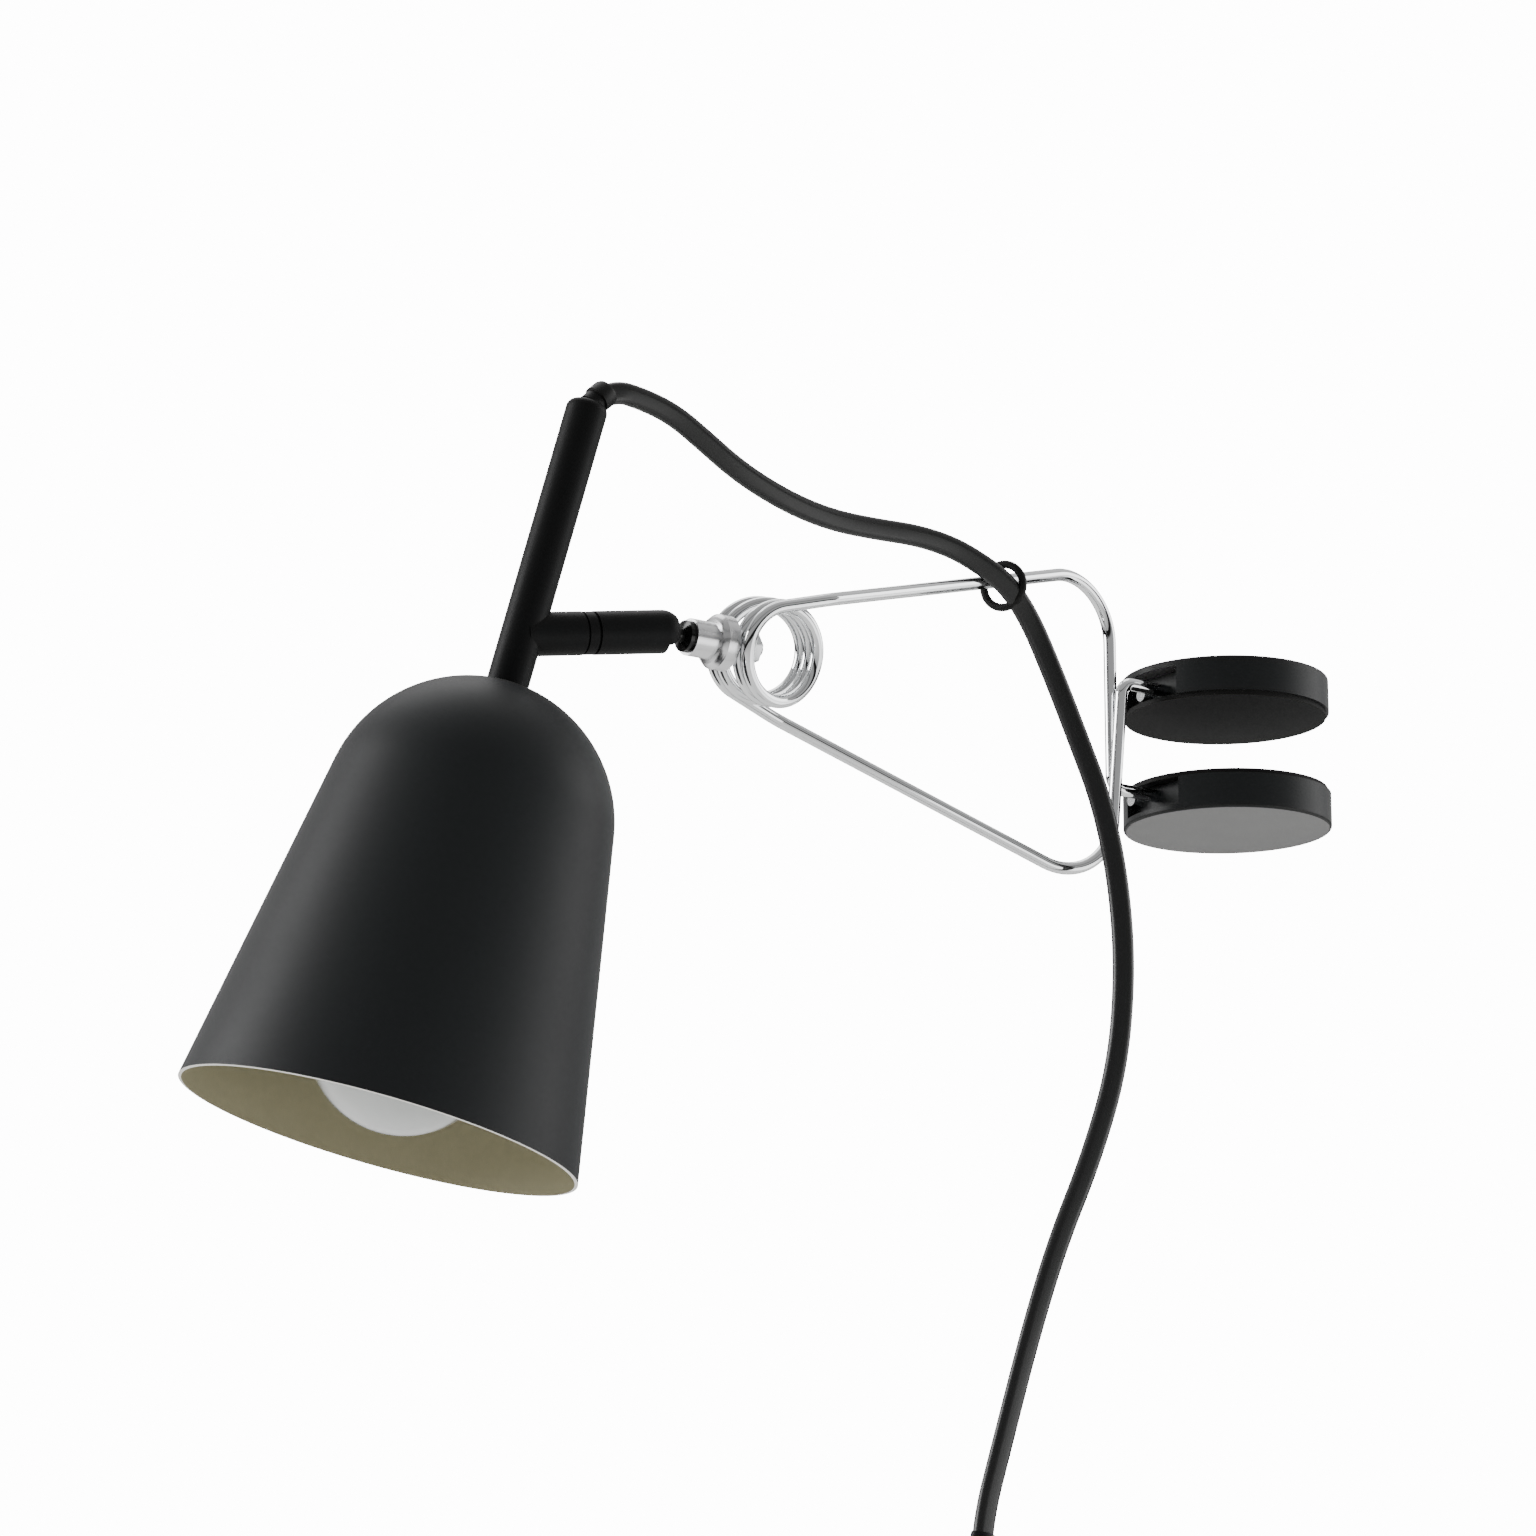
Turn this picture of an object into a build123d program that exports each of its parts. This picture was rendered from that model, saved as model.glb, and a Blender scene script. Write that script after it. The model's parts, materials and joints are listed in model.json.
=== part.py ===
from build123d import *
import math
import os

# Clip on reading lamp.  Units are millimetres.
# +X points into the shelf, +Y along the shelf's front edge, +Z up.
# The origin is the centre of the lower pad's gripping face.

# ---------------------------------------------------------------- driving dimensions
BOARD = 19.0  # thickness of the shelf between the two pads

# spring wire
WIRE = 3.2
COIL_OUTSIDE = 26.0
COIL_CENTRE = Vector(-142.9, 0.0, 14.4)
COIL_ROLL = 16.0  # the coil leans about X, its far end up
CLOSE_GAP = 0.2  # between wires where the turns lie together
OUTER_GAP = 0.6  # the same for the outermost turns, where the legs leave
BOLT_GAP = 4.6  # clear width that the turns leave for the clamp bolt
JAW_X = -36.0  # the upright part of both jaws, clear of the shelf's edge
REAR_Y = 2.1  # upright wire of the jaw that holds the lower pad
FRONT_Y = -2.5  # upright wire of the jaw that holds the upper pad
UPPER_LEG_TOP = 53.6  # height of the upper leg's corner
LOWER_LEG_CORNER = (-41.5, -33.0)  # X and Z of the lower leg's corner
LEG_BEND = 15.0
LEG_RISE = 15.5  # how far short of the coil's top the upper leg leaves, in degrees
LEG_FALL = 19.6  # the same for the lower leg, at the coil's underside
UPPER_LEAD = 0.06  # how fast the last arc comes in towards the coil's middle
LOWER_LEAD = -0.05
LEG_STRAIGHT = 14.0  # each leg goes straight on from the coil this far, then bends inward
LEG_TRIM_BEND = 30.0
ELBOW_BEND = 3.4
HAIRPIN_WIDTH = 6.6  # between the two limbs that a pad is snapped onto
HAIRPIN_END_X = -15.0
HAIRPIN_TAIL_X = -24.5
HAIRPIN_DEPTH = 3.7  # from a pad's gripping face to its wire's centre

# pads
PAD = 53.0
GRIP_THICKNESS = 1.2
PAD_BODY_THICKNESS = 7.2
PAD_CAP_THICKNESS = 1.8
NOTCH_WIDTH = 20.0
NOTCH_EDGE_X = -21.5
PEG = 4.0
PEG_HEIGHT = 4.5
PEG_CIRCLE = 36.0

# clamp on the coil and ball joint
BALL_X = -174.4
BALL = 7.6
NECK = 3.4
STUD_FLANGE = 7.6
CUP_COLLAR = 9.0
CUP_BARREL = 13.4
CUP_FACE_X = -166.6
CUP_STEP_X = -160.6
CLAMP_BITE = 0.1  # how far the clamp's faces press into the wire
CLAMP_BOLT = 4.0
CLAMP_SADDLE = (2.2, 11.0, 7.0)  # thickness, length along the coil and height
CLAMP_NUT_ACROSS = 7.0
CLAMP_NUT_HEIGHT = 3.2

# arm
ARM_WALL = 1.0
ARM_LENGTH = 36.0  # ball centre to stem axis
ARM_DIRECTION = Vector(0.977, -0.161, 0.140).normalized()  # from the stem to the ball
BRANCH_LENGTH = 15.0
BRANCH_PLUG = 7.0
RING_BAND = 2.4
RING_HUB = 0.5
SWIVEL_SHANK = 5.0
SWIVEL_HEAD = 7.2
SWIVEL_HEAD_HEIGHT = 3.0
SLEEVE_WALL = 2.1
SEAT_WALL = 0.34
BALL_OPENING_ANGLE = 52.0
BALL_SLOT = 6.4

# stem and shade
STEM = 10.0
STEM_BORE = 8.0
STEM_DIRECTION = Vector(0.223, -0.126, 0.967).normalized()
STEM_ABOVE = 56.0  # arm axis to the end of the tube
STEM_BELOW = 12.8  # arm axis to the top of the shade
STEM_PLUG_HEIGHT = 3.2
SHADE_RIM_RADIUS = 47.0
SHADE_HEIGHT = 109.0
SHADE_DOME_RADIUS = 34.0
SHADE_WALL = 0.8
NIPPLE = 8.0
NIPPLE_BORE = 5.2
EXIT_BORE = 5.8  # slanting hole for the cord's sleeve
LAMPHOLDER = 27.0
BULB = 45.0
BULB_LENGTH = 78.0
BULB_CAP = 14.0
BULB_WALL = 0.8

# cord
CORD = 4.5  # round section with the area of the flat two-core cord, 5.4 by 3.4
SLEEVE_LENGTH = 7.0
RING_ROOM = 5.6  # clear width that the rubber ring leaves beside the wire
RING_SECTION = 2.0
RING_NORMAL = Vector(0.90, 0.42, 0.10).normalized()
RING_X = -75.0  # where the rubber ring sits on the upper leg
RING_FROM_WIRE = Vector(-0.6, -2.3, -1.9)  # the ring's centre, from the wire's
CORD_FROM_WIRE = Vector(-1.8, -4.8, -1.7)  # the cord's centre in the ring, from the wire's
CORD_Y = -15.0  # the cord hangs this far in front of the jaw's middle
COIL_TURN = 54.0  # spare cord, across the middle of its turns
CORD_COIL_WIDTH = 17.0
CORD_COIL_DEPTH = 11.0
COIL_LINK = 12.0  # cord between the switch and the coil
TAIL_BEND = 16.0

# switch on the cord
SWITCH_X = -93.5
SWITCH_TOP = -205.0
SWITCH_LENGTH = 58.0
SWITCH_WIDTH = 22.0
SWITCH_DEPTH = 15.0
SWITCH_WALL = 1.8
SCREW = 2.6
ROCKER_WIDTH = 9.0
ROCKER_LENGTH = 18.0
ROCKER_PROUD = 1.6
ROCKER_ROOM = 0.9
ROCKER_TILT = 7.0  # the key rests tilted this far, and rocks over to the same on the other side
ROCKER_PIN = 2.4
ROCKER_PIN_DEPTH = 3.6  # from the housing's front

# plug
PLUG_LENGTH = 36.0
PLUG_WIDTH = 25.6
PLUG_THICKNESS = 13.7
PLUG_RELIEF = 9.0
PLUG_PIN = 4.0
PLUG_PIN_LENGTH = 19.0
PLUG_PIN_PITCH = 18.6

# running and gap values shared by everything that fits together
RUNNING = 0.03
PLAY = 0.05
GAP = 0.3

# ---------------------------------------------------------------- places worked out from the above
SEAT_OUTER = BALL / 2 + RUNNING + SEAT_WALL
POCKET = SEAT_OUTER + RUNNING
ARM_BORE = 2 * POCKET
ARM = ARM_BORE + 2 * ARM_WALL
RING_OUTSIDE = WIRE + RING_ROOM + 2 * RING_SECTION
PAD_THICKNESS = GRIP_THICKNESS + PAD_BODY_THICKNESS + PAD_CAP_THICKNESS
COIL_RADIUS = (COIL_OUTSIDE - WIRE) / 2
BALL_CENTRE = Vector(BALL_X, 0.0, COIL_CENTRE.Z)
ARM_ROOT = BALL_CENTRE - ARM_DIRECTION * ARM_LENGTH
SHADE_TOP = ARM_ROOT - STEM_DIRECTION * STEM_BELOW
RIM_CENTRE = SHADE_TOP - STEM_DIRECTION * SHADE_HEIGHT
STEM_TOP = ARM_ROOT + STEM_DIRECTION * STEM_ABOVE
ARM_FRAME = Plane(origin=ARM_ROOT, x_dir=(0, 1, 0), z_dir=ARM_DIRECTION)
SHADE_FRAME = Plane(origin=RIM_CENTRE, x_dir=(0, 1, 0), z_dir=STEM_DIRECTION)
STEM_FRAME = Plane(origin=ARM_ROOT, x_dir=(0, 1, 0), z_dir=STEM_DIRECTION)
CUP_END_X = COIL_CENTRE.X - COIL_OUTSIDE / 2 + CLAMP_BITE
EXIT_DIRECTION = Vector(0.74, -0.04, 0.67).normalized()
EXIT_START = STEM_TOP + STEM_DIRECTION * (STEM_PLUG_HEIGHT - 1.2)
CORD_EXIT = EXIT_START + EXIT_DIRECTION * SLEEVE_LENGTH
CORD_START = EXIT_START + EXIT_DIRECTION  # the outside cord begins just inside its sleeve
SWITCH_BOTTOM = SWITCH_TOP - SWITCH_LENGTH
SWITCH_Z = (SWITCH_TOP + SWITCH_BOTTOM) / 2
PIVOT_Y = CORD_Y - SWITCH_DEPTH / 2 + ROCKER_PIN_DEPTH
COIL_TOP = SWITCH_BOTTOM - COIL_LINK
CORD_COIL_Z = COIL_TOP - CORD_COIL_WIDTH / 2 - COIL_TURN / 2
TAIL_X = SWITCH_X + COIL_TURN / 2 + CORD_COIL_WIDTH / 2 + CORD / 2 - 2 * PLAY
TAIL_ARCH_Z = CORD_COIL_Z + TAIL_BEND / 2
PLUG_X = TAIL_X + 2 * TAIL_BEND
PLUG_TOP = TAIL_ARCH_Z - TAIL_BEND * math.tan(math.pi / 8)


# ---------------------------------------------------------------- helpers
def save(shape, node):
    """Write one sub-part, as its own STEP file."""
    export_step(shape, f"parts/{node}.step")


def tube(path, diameter):
    """A round rod swept along a path."""
    start = Plane(origin=path @ 0, z_dir=path % 0)
    return sweep(start * Circle(diameter / 2), path=path)


def rod(start, end, diameter):
    """A straight round rod between two points."""
    return tube(Line(start, end), diameter)


def turned(plane, points):
    """A solid turned about the plane's normal from (radius, height) points."""
    outline = Polyline(*[(radius, 0, height) for radius, height in points], close=True)
    return plane.location * revolve(make_face(outline), Axis.Z)


def ring(plane, outside, inside, low, high):
    """A round collar between two heights on the plane's normal."""
    return turned(plane, [(inside / 2, low), (outside / 2, low), (outside / 2, high), (inside / 2, high)])


def disc(plane, diameter, low, high):
    """A round disc between two heights on the plane's normal."""
    return turned(plane, [(0, low), (diameter / 2, low), (diameter / 2, high), (0, high)])


def hexagon(plane, across_flats, bore, low, high):
    """A hexagon nut between two heights on the plane's normal."""
    blank = extrude(RegularPolygon(across_flats / 2, 6, major_radius=False), amount=high - low)
    return plane.location * (Pos(0, 0, low) * blank) - disc(plane, bore, low - 1, high + 1)


def cord_radii(points):
    """The arc radius at each inner point of a cord's route: as large as its runs allow."""
    radii = []
    for before, here, after in zip(points, points[1:], points[2:]):
        arriving = Vector(*here) - Vector(*before)
        leaving = Vector(*after) - Vector(*here)
        half_turn = math.radians(arriving.get_angle(leaving)) / 2
        radii.append(0.45 * min(arriving.length, leaving.length) / math.tan(half_turn))
    return radii


def cord_tube(name, points):
    """A stretch of cord: straight runs joined by tangent arcs."""
    radii = cord_radii(points)
    path = FilletPolyline(*points, radius=radii)
    shape = tube(path, CORD)
    expected = math.pi * CORD**2 / 4 * path.length
    rounded = ", ".join(f"{radius:.0f}" for radius in radii)
    print(f"{name}: length {path.length:.1f}, volume ratio {shape.volume / expected:.4f}, radii {rounded}")
    return shape


# ---------------------------------------------------------------- spring wire
def coil_frame():
    """The coil's own directions: along X, up the leaning coil, and along its axis."""
    roll = math.radians(COIL_ROLL)
    up = Vector(0, -math.sin(roll), math.cos(roll))
    axis = Vector(0, math.cos(roll), math.sin(roll))
    return Vector(1, 0, 0), up, axis


def coil_passes():
    """Places along the coil's axis where the wire passes its left and its right side."""
    inner = (BOLT_GAP + WIRE) / 2
    outer = inner + WIRE + OUTER_GAP
    left = [-outer, -inner, inner, outer]
    right = [-WIRE - CLOSE_GAP, 0.0, WIRE + CLOSE_GAP]
    return left, right


def leaving_arc(side, place, lead, angle):
    """The arc from a left pass to where a leg leaves: side is +1 over the top, -1 under."""
    along, up, axis = coil_frame()
    start = COIL_CENTRE - along * COIL_RADIUS + axis * place
    across = (along + axis * lead).normalized()
    centre = start + across * COIL_RADIUS

    def point(turn):
        return centre - across * (COIL_RADIUS * math.cos(turn)) + up * (side * COIL_RADIUS * math.sin(turn))

    end_turn = math.radians(90 - angle)
    heading = across * math.sin(end_turn) + up * (side * math.cos(end_turn))
    return start, point(end_turn / 2), point(end_turn), heading


def leg_ends():
    """Where the two legs leave the coil: the upper at its near end, the lower at its far end."""
    left, _ = coil_passes()
    upper = leaving_arc(1, left[0], UPPER_LEAD, LEG_RISE)
    lower = leaving_arc(-1, left[-1], LOWER_LEAD, LEG_FALL)
    return upper, lower


def leg_start(leaving):
    """The leg's first two points: where it leaves the coil, and where it bends inward."""
    _, _, start, heading = leaving
    return start, start + heading * LEG_STRAIGHT


def spring_coil():
    """Three and a half turns of wire: half circles that meet upright at the coil's two sides."""
    along, up, axis = coil_frame()
    left, right = coil_passes()
    upper, lower = leg_ends()
    edges = [ThreePointArc(upper[2], upper[1], upper[0])]
    for i, place in enumerate(right):
        here = COIL_CENTRE - along * COIL_RADIUS + axis * left[i]
        side = COIL_CENTRE + along * COIL_RADIUS + axis * place
        back = COIL_CENTRE - along * COIL_RADIUS + axis * left[i + 1]
        for first, second, height in ((here, side, -1), (side, back, 1)):
            radius = (second - first).length / 2
            edges.append(ThreePointArc(first, (first + second) * 0.5 + up * (height * radius), second))
    edges.append(ThreePointArc(lower[0], lower[1], lower[2]))
    return tube(Wire([curve.edge() for curve in edges]), WIRE)


def hairpin(y, z, side):
    """The wire's end that a pad is snapped onto, from its elbow on: in, round and part way back."""
    other = y + side * HAIRPIN_WIDTH
    return [(JAW_X, y, z), (HAIRPIN_END_X, y, z), (HAIRPIN_END_X, other, z), (HAIRPIN_TAIL_X, other, z)]


HOOK_BEND = HAIRPIN_WIDTH / 2 - PLAY
LEG_RADII = [LEG_TRIM_BEND, LEG_BEND, ELBOW_BEND, HOOK_BEND, HOOK_BEND]
UPPER_CORNER = Vector(JAW_X, REAR_Y, UPPER_LEG_TOP)
LOWER_CORNER = Vector(LOWER_LEG_CORNER[0], FRONT_Y, LOWER_LEG_CORNER[1])
JOINT_GAP = 0.02  # hairline between the coil and the leg that turns with the jaw


def upper_leg_path():
    """From the coil's top, over the shelf's edge and down to the lower pad."""
    points = [*leg_start(leg_ends()[0]), UPPER_CORNER, *hairpin(REAR_Y, -HAIRPIN_DEPTH, 1)]
    return FilletPolyline(*points, radius=LEG_RADII)


def lower_leg_path():
    """From the coil's underside, below the shelf and up to the upper pad."""
    first, second = leg_start(leg_ends()[1])
    points = [first + (second - first).normalized() * JOINT_GAP, second, LOWER_CORNER]
    return FilletPolyline(*points, *hairpin(FRONT_Y, BOARD + HAIRPIN_DEPTH, 1), radius=LEG_RADII)


# ---------------------------------------------------------------- pads
def pad_parts(face_z, outward, wire_path):
    """Rubber grip, body and outer cap of one pad, stacked outward from its gripping face."""
    face = Plane(origin=(0, 0, face_z), x_dir=(1, 0, 0), z_dir=(0, 0, outward))
    body_low = GRIP_THICKNESS
    body_high = GRIP_THICKNESS + PAD_BODY_THICKNESS
    grip = disc(face, PAD - 1.6, 0, body_low)
    body = disc(face, PAD, body_low, body_high)
    notch = Box(PAD, NOTCH_WIDTH, 3 * PAD_THICKNESS)
    body -= Pos(NOTCH_EDGE_X - PAD / 2, 0, face_z) * notch
    pegs = []
    for i in range(3):
        angle = math.radians(120 * i)
        place = Plane(
            origin=face.origin + Vector(math.cos(angle), math.sin(angle), 0) * (PEG_CIRCLE / 2),
            z_dir=face.z_dir,
        )
        pegs.append(disc(place, PEG, body_high - PEG_HEIGHT, body_high))
    body -= pegs
    body -= tube(wire_path, WIRE)
    cap = disc(face, PAD, body_high, PAD_THICKNESS)
    rim = cap.edges().filter_by(GeomType.CIRCLE).sort_by(Axis.Z)
    cap = fillet(rim[-1] if outward > 0 else rim[0], 0.8)
    return grip, body, cap + pegs


# ---------------------------------------------------------------- clamp and ball
CLAMP_FRAME = Plane(origin=BALL_CENTRE, x_dir=(0, 1, 0), z_dir=(1, 0, 0))
CUP_FACE = CUP_FACE_X - BALL_X
CUP_STEP = CUP_STEP_X - BALL_X
CUP_END = CUP_END_X - BALL_X
STUD_SEAT = CUP_FACE + 2.4
WASHER_FACE = COIL_CENTRE.X - COIL_OUTSIDE / 2 + WIRE - CLAMP_BITE - BALL_X


def ball_stud():
    """Ball, neck, flange and the threaded shank that goes through the coil."""
    shank_end = WASHER_FACE + CLAMP_SADDLE[0] + CLAMP_NUT_HEIGHT + 1.5
    neck_end = ARM / 2 + 0.6
    stem = turned(
        CLAMP_FRAME,
        [
            (0, 0),
            (NECK / 2, 0),
            (NECK / 2, neck_end),
            (STUD_FLANGE / 2, neck_end + 0.6),
            (STUD_FLANGE / 2, STUD_SEAT),
            (CLAMP_BOLT / 2, STUD_SEAT),
            (CLAMP_BOLT / 2, shank_end - 0.4),
            (CLAMP_BOLT / 2 - 0.4, shank_end),
            (0, shank_end),
        ],
    )
    return stem + Pos(*BALL_CENTRE) * Sphere(BALL / 2)


def clamp_cup():
    """Turned cup between the ball stud's flange and the coil."""
    bore = CLAMP_BOLT / 2
    return turned(
        CLAMP_FRAME,
        [
            (STUD_FLANGE / 2 + PLAY, CUP_FACE),
            (CUP_COLLAR / 2, CUP_FACE),
            (CUP_COLLAR / 2, CUP_STEP),
            (CUP_BARREL / 2 - 0.9, CUP_STEP + 0.5),
            (CUP_BARREL / 2, CUP_STEP + 1.6),
            (CUP_BARREL / 2, CUP_END),
            (bore, CUP_END),
            (bore, STUD_SEAT),
            (STUD_FLANGE / 2 + PLAY, STUD_SEAT),
        ],
    )


def clamp_saddle():
    """Rounded saddle that bears on the coil's inside, on both sides of the bolt."""
    _, _, axis = coil_frame()
    thickness, length, height = CLAMP_SADDLE
    inside = Plane(origin=COIL_CENTRE, x_dir=(1, 0, 0), z_dir=axis)
    core = disc(inside, COIL_OUTSIDE - 2 * WIRE + 2 * CLAMP_BITE, -length / 2, length / 2)
    block = inside.location * (Pos(WASHER_FACE - (COIL_CENTRE.X - BALL_X) + thickness / 2, 0, 0) * Box(
        thickness, height, length
    ))
    return (core & block) - disc(CLAMP_FRAME, CLAMP_BOLT, WASHER_FACE - 1, WASHER_FACE + thickness + 1)


def clamp_nut():
    """Nut that pulls the cup and the saddle together on the wire."""
    low = WASHER_FACE + CLAMP_SADDLE[0]
    return hexagon(CLAMP_FRAME, CLAMP_NUT_ACROSS, CLAMP_BOLT, low, low + CLAMP_NUT_HEIGHT)


# ---------------------------------------------------------------- arm
RING_START = BRANCH_LENGTH
RING_END = RING_START + 2 * RING_HUB + RING_BAND
SLEEVE_START = RING_END + PLAY
SLEEVE_FLOOR = SLEEVE_START + SLEEVE_WALL


def ball_seat():
    """Thin nylon cup behind the ball, free to turn with it in the sleeve."""
    shell = Sphere(SEAT_OUTER) - Sphere(BALL / 2 + RUNNING)
    back = Pos(0, 0, -SEAT_OUTER) * Box(3 * ARM, 3 * ARM, 2 * SEAT_OUTER)
    return ARM_FRAME.location * (Pos(0, 0, ARM_LENGTH) * (shell & back))


def arm_sleeve():
    """Outer tube of the arm: floor for the swivel screw at one end, ball pocket at the other."""
    straight = disc(ARM_FRAME, ARM, SLEEVE_START, ARM_LENGTH)
    pocket_centre = ARM_FRAME.location * Pos(0, 0, ARM_LENGTH)
    body = straight + pocket_centre * Sphere(ARM / 2)
    body -= disc(ARM_FRAME, ARM_BORE, SLEEVE_FLOOR, ARM_LENGTH)
    body -= disc(ARM_FRAME, SWIVEL_SHANK + 2 * RUNNING, SLEEVE_START - 1, SLEEVE_FLOOR + 1)
    body -= pocket_centre * Sphere(ARM_BORE / 2)
    mouth = POCKET * math.sin(math.radians(BALL_OPENING_ANGLE))
    flare = mouth * ARM / ARM_BORE
    body -= turned(
        ARM_FRAME,
        [(0, ARM_LENGTH), (0, ARM_LENGTH + ARM), (2 * flare, ARM_LENGTH + ARM), (mouth, ARM_LENGTH + 2)],
    )
    down = Vector(0, 0, -1)
    slot_up = (down - ARM_DIRECTION * down.dot(ARM_DIRECTION)).normalized()
    slot_frame = Plane(origin=BALL_CENTRE, x_dir=slot_up, z_dir=ARM_DIRECTION)
    slot = Pos(ARM / 2, 0, ARM / 2 + GAP) * Box(ARM, BALL_SLOT, ARM)
    return body - slot_frame.location * slot


def seat_plug():
    """Plug that holds the seat against the ball."""
    low = SLEEVE_FLOOR + 2 * PLAY + 0.6 + SWIVEL_HEAD_HEIGHT + 1.2
    plug = disc(ARM_FRAME, ARM_BORE, low, ARM_LENGTH - 1.2)
    return plug - ARM_FRAME.location * (Pos(0, 0, ARM_LENGTH) * Sphere(POCKET))


def arm_branch():
    """Short tube brazed onto the stem, with a plug that the swivel screw is driven into."""
    blank = disc(ARM_FRAME, ARM, 0, BRANCH_LENGTH)
    blank -= disc(ARM_FRAME, ARM_BORE, -1, BRANCH_LENGTH - BRANCH_PLUG)
    blank -= disc(ARM_FRAME, SWIVEL_SHANK, BRANCH_LENGTH - BRANCH_PLUG - 1, BRANCH_LENGTH + 1)
    return blank - disc(STEM_FRAME, STEM, -3 * ARM, 3 * ARM)


def swivel_ring():
    """Nylon ring between branch and sleeve, its band standing between two fine grooves."""
    hub = ARM / 2 - 0.6
    band = ARM / 2 - 0.1
    heights = [RING_START, RING_START + RING_HUB, RING_END - RING_HUB, RING_END]
    bore = SWIVEL_SHANK / 2
    return turned(
        ARM_FRAME,
        [
            (bore, heights[0]),
            (hub, heights[0]),
            (hub, heights[1]),
            (band, heights[1]),
            (band, heights[2]),
            (hub, heights[2]),
            (hub, heights[3]),
            (bore, heights[3]),
        ],
    )


def swivel_screw():
    """Shoulder screw that the sleeve turns on, with a socket in its head."""
    head_low = SLEEVE_FLOOR + 2 * PLAY + 0.6
    shank = disc(ARM_FRAME, SWIVEL_SHANK, BRANCH_LENGTH - BRANCH_PLUG, head_low)
    head = disc(ARM_FRAME, SWIVEL_HEAD, head_low, head_low + SWIVEL_HEAD_HEIGHT)
    socket = hexagon(ARM_FRAME, 3.0, 0.02, head_low + 1.2, head_low + SWIVEL_HEAD_HEIGHT + 1)
    return shank + head - socket


def swivel_washer():
    """Spring washer under the screw's head, which gives the swivel its friction."""
    low = SLEEVE_FLOOR + PLAY
    return ring(ARM_FRAME, SWIVEL_HEAD, SWIVEL_SHANK, low, low + 0.6 + PLAY)


# ---------------------------------------------------------------- stem and its top
def shade_dome(radius):
    """The sphere of the shade's dome, or one inside it, in the model's frame."""
    return SHADE_FRAME.location * (Pos(0, 0, SHADE_HEIGHT - SHADE_DOME_RADIUS) * Sphere(radius))


def stem_tube():
    """Tube from the shade's top to the cord's exit."""
    tube_body = ring(STEM_FRAME, STEM, STEM_BORE, -STEM_BELOW - 1, STEM_ABOVE)
    return tube_body - shade_dome(SHADE_DOME_RADIUS)


def stem_plug():
    """Rounded plug in the stem's end, with the slanting hole that the cord leaves by."""
    spigot = 6.0
    head = disc(STEM_FRAME, STEM, STEM_ABOVE, STEM_ABOVE + STEM_PLUG_HEIGHT)
    top_edge = head.edges().filter_by(GeomType.CIRCLE).sort_by(Axis.Z)[-1]
    head = fillet(top_edge, STEM_PLUG_HEIGHT * 0.7)
    head += disc(STEM_FRAME, STEM_BORE, STEM_ABOVE - spigot, STEM_ABOVE)
    head -= disc(STEM_FRAME, EXIT_BORE, STEM_ABOVE - spigot - 1, STEM_ABOVE + 1.4)
    return head - rod(EXIT_START - EXIT_DIRECTION * 2.5, CORD_EXIT, EXIT_BORE)


def cord_sleeve():
    """Short soft sleeve where the cord leaves the stem."""
    frame = Plane(origin=EXIT_START, x_dir=(0, 1, 0), z_dir=EXIT_DIRECTION)
    bore = CORD / 2 + PLAY
    outer = EXIT_BORE / 2
    return turned(
        frame,
        [
            (bore, 0.4),
            (outer, 0.4),
            (outer, 3.0),
            (outer + 0.5, 3.2),
            (outer + 0.5, SLEEVE_LENGTH - 0.8),
            (outer + 0.2, SLEEVE_LENGTH),
            (bore, SLEEVE_LENGTH),
        ],
    )


def inner_flex():
    """The cord inside the stem, from the lampholder to the sleeve."""
    bottom = SHADE_FRAME.location * Pos(0, 0, LAMPHOLDER_TOP - 6)
    low = bottom.position
    corner = EXIT_START - EXIT_DIRECTION
    return tube(FilletPolyline(low, corner, CORD_START - EXIT_DIRECTION * PLAY, radius=4.0), CORD)


# ---------------------------------------------------------------- shade and lampholder
# Heights here are counted from the shade's rim.
CONE_START = SHADE_HEIGHT - SHADE_DOME_RADIUS
INNER_TOP = SHADE_HEIGHT - SHADE_WALL
WASHER_RADIUS = 8.0
WASHER_TOP = CONE_START + math.sqrt((SHADE_DOME_RADIUS - SHADE_WALL) ** 2 - WASHER_RADIUS**2)
SHADE_WASHER_THICKNESS = 1.0
SHADE_NUT_HEIGHT = 3.5
LAMPHOLDER_TOP = WASHER_TOP - SHADE_WASHER_THICKNESS - SHADE_NUT_HEIGHT
LAMPHOLDER_SPLIT = LAMPHOLDER_TOP - 11.0
LAMPHOLDER_MOUTH = 56.0
BULB_CAP_START = BULB_LENGTH - 23.0


def shade_outline(inset):
    """The bell's half outline, its wall set in: rim, straight flank, dome."""
    dome = SHADE_DOME_RADIUS - inset
    reach = math.hypot(SHADE_RIM_RADIUS, CONE_START)
    tilt = math.acos(SHADE_DOME_RADIUS / reach) - math.atan2(CONE_START, SHADE_RIM_RADIUS)
    tangent = (dome * math.cos(tilt), CONE_START + dome * math.sin(tilt))
    rim = SHADE_RIM_RADIUS - inset / math.cos(tilt)
    top = (0.0, CONE_START + dome)
    middle_angle = (tilt + math.pi / 2) / 2
    middle = (dome * math.cos(middle_angle), CONE_START + dome * math.sin(middle_angle))
    return rim, tangent, middle, top


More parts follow.
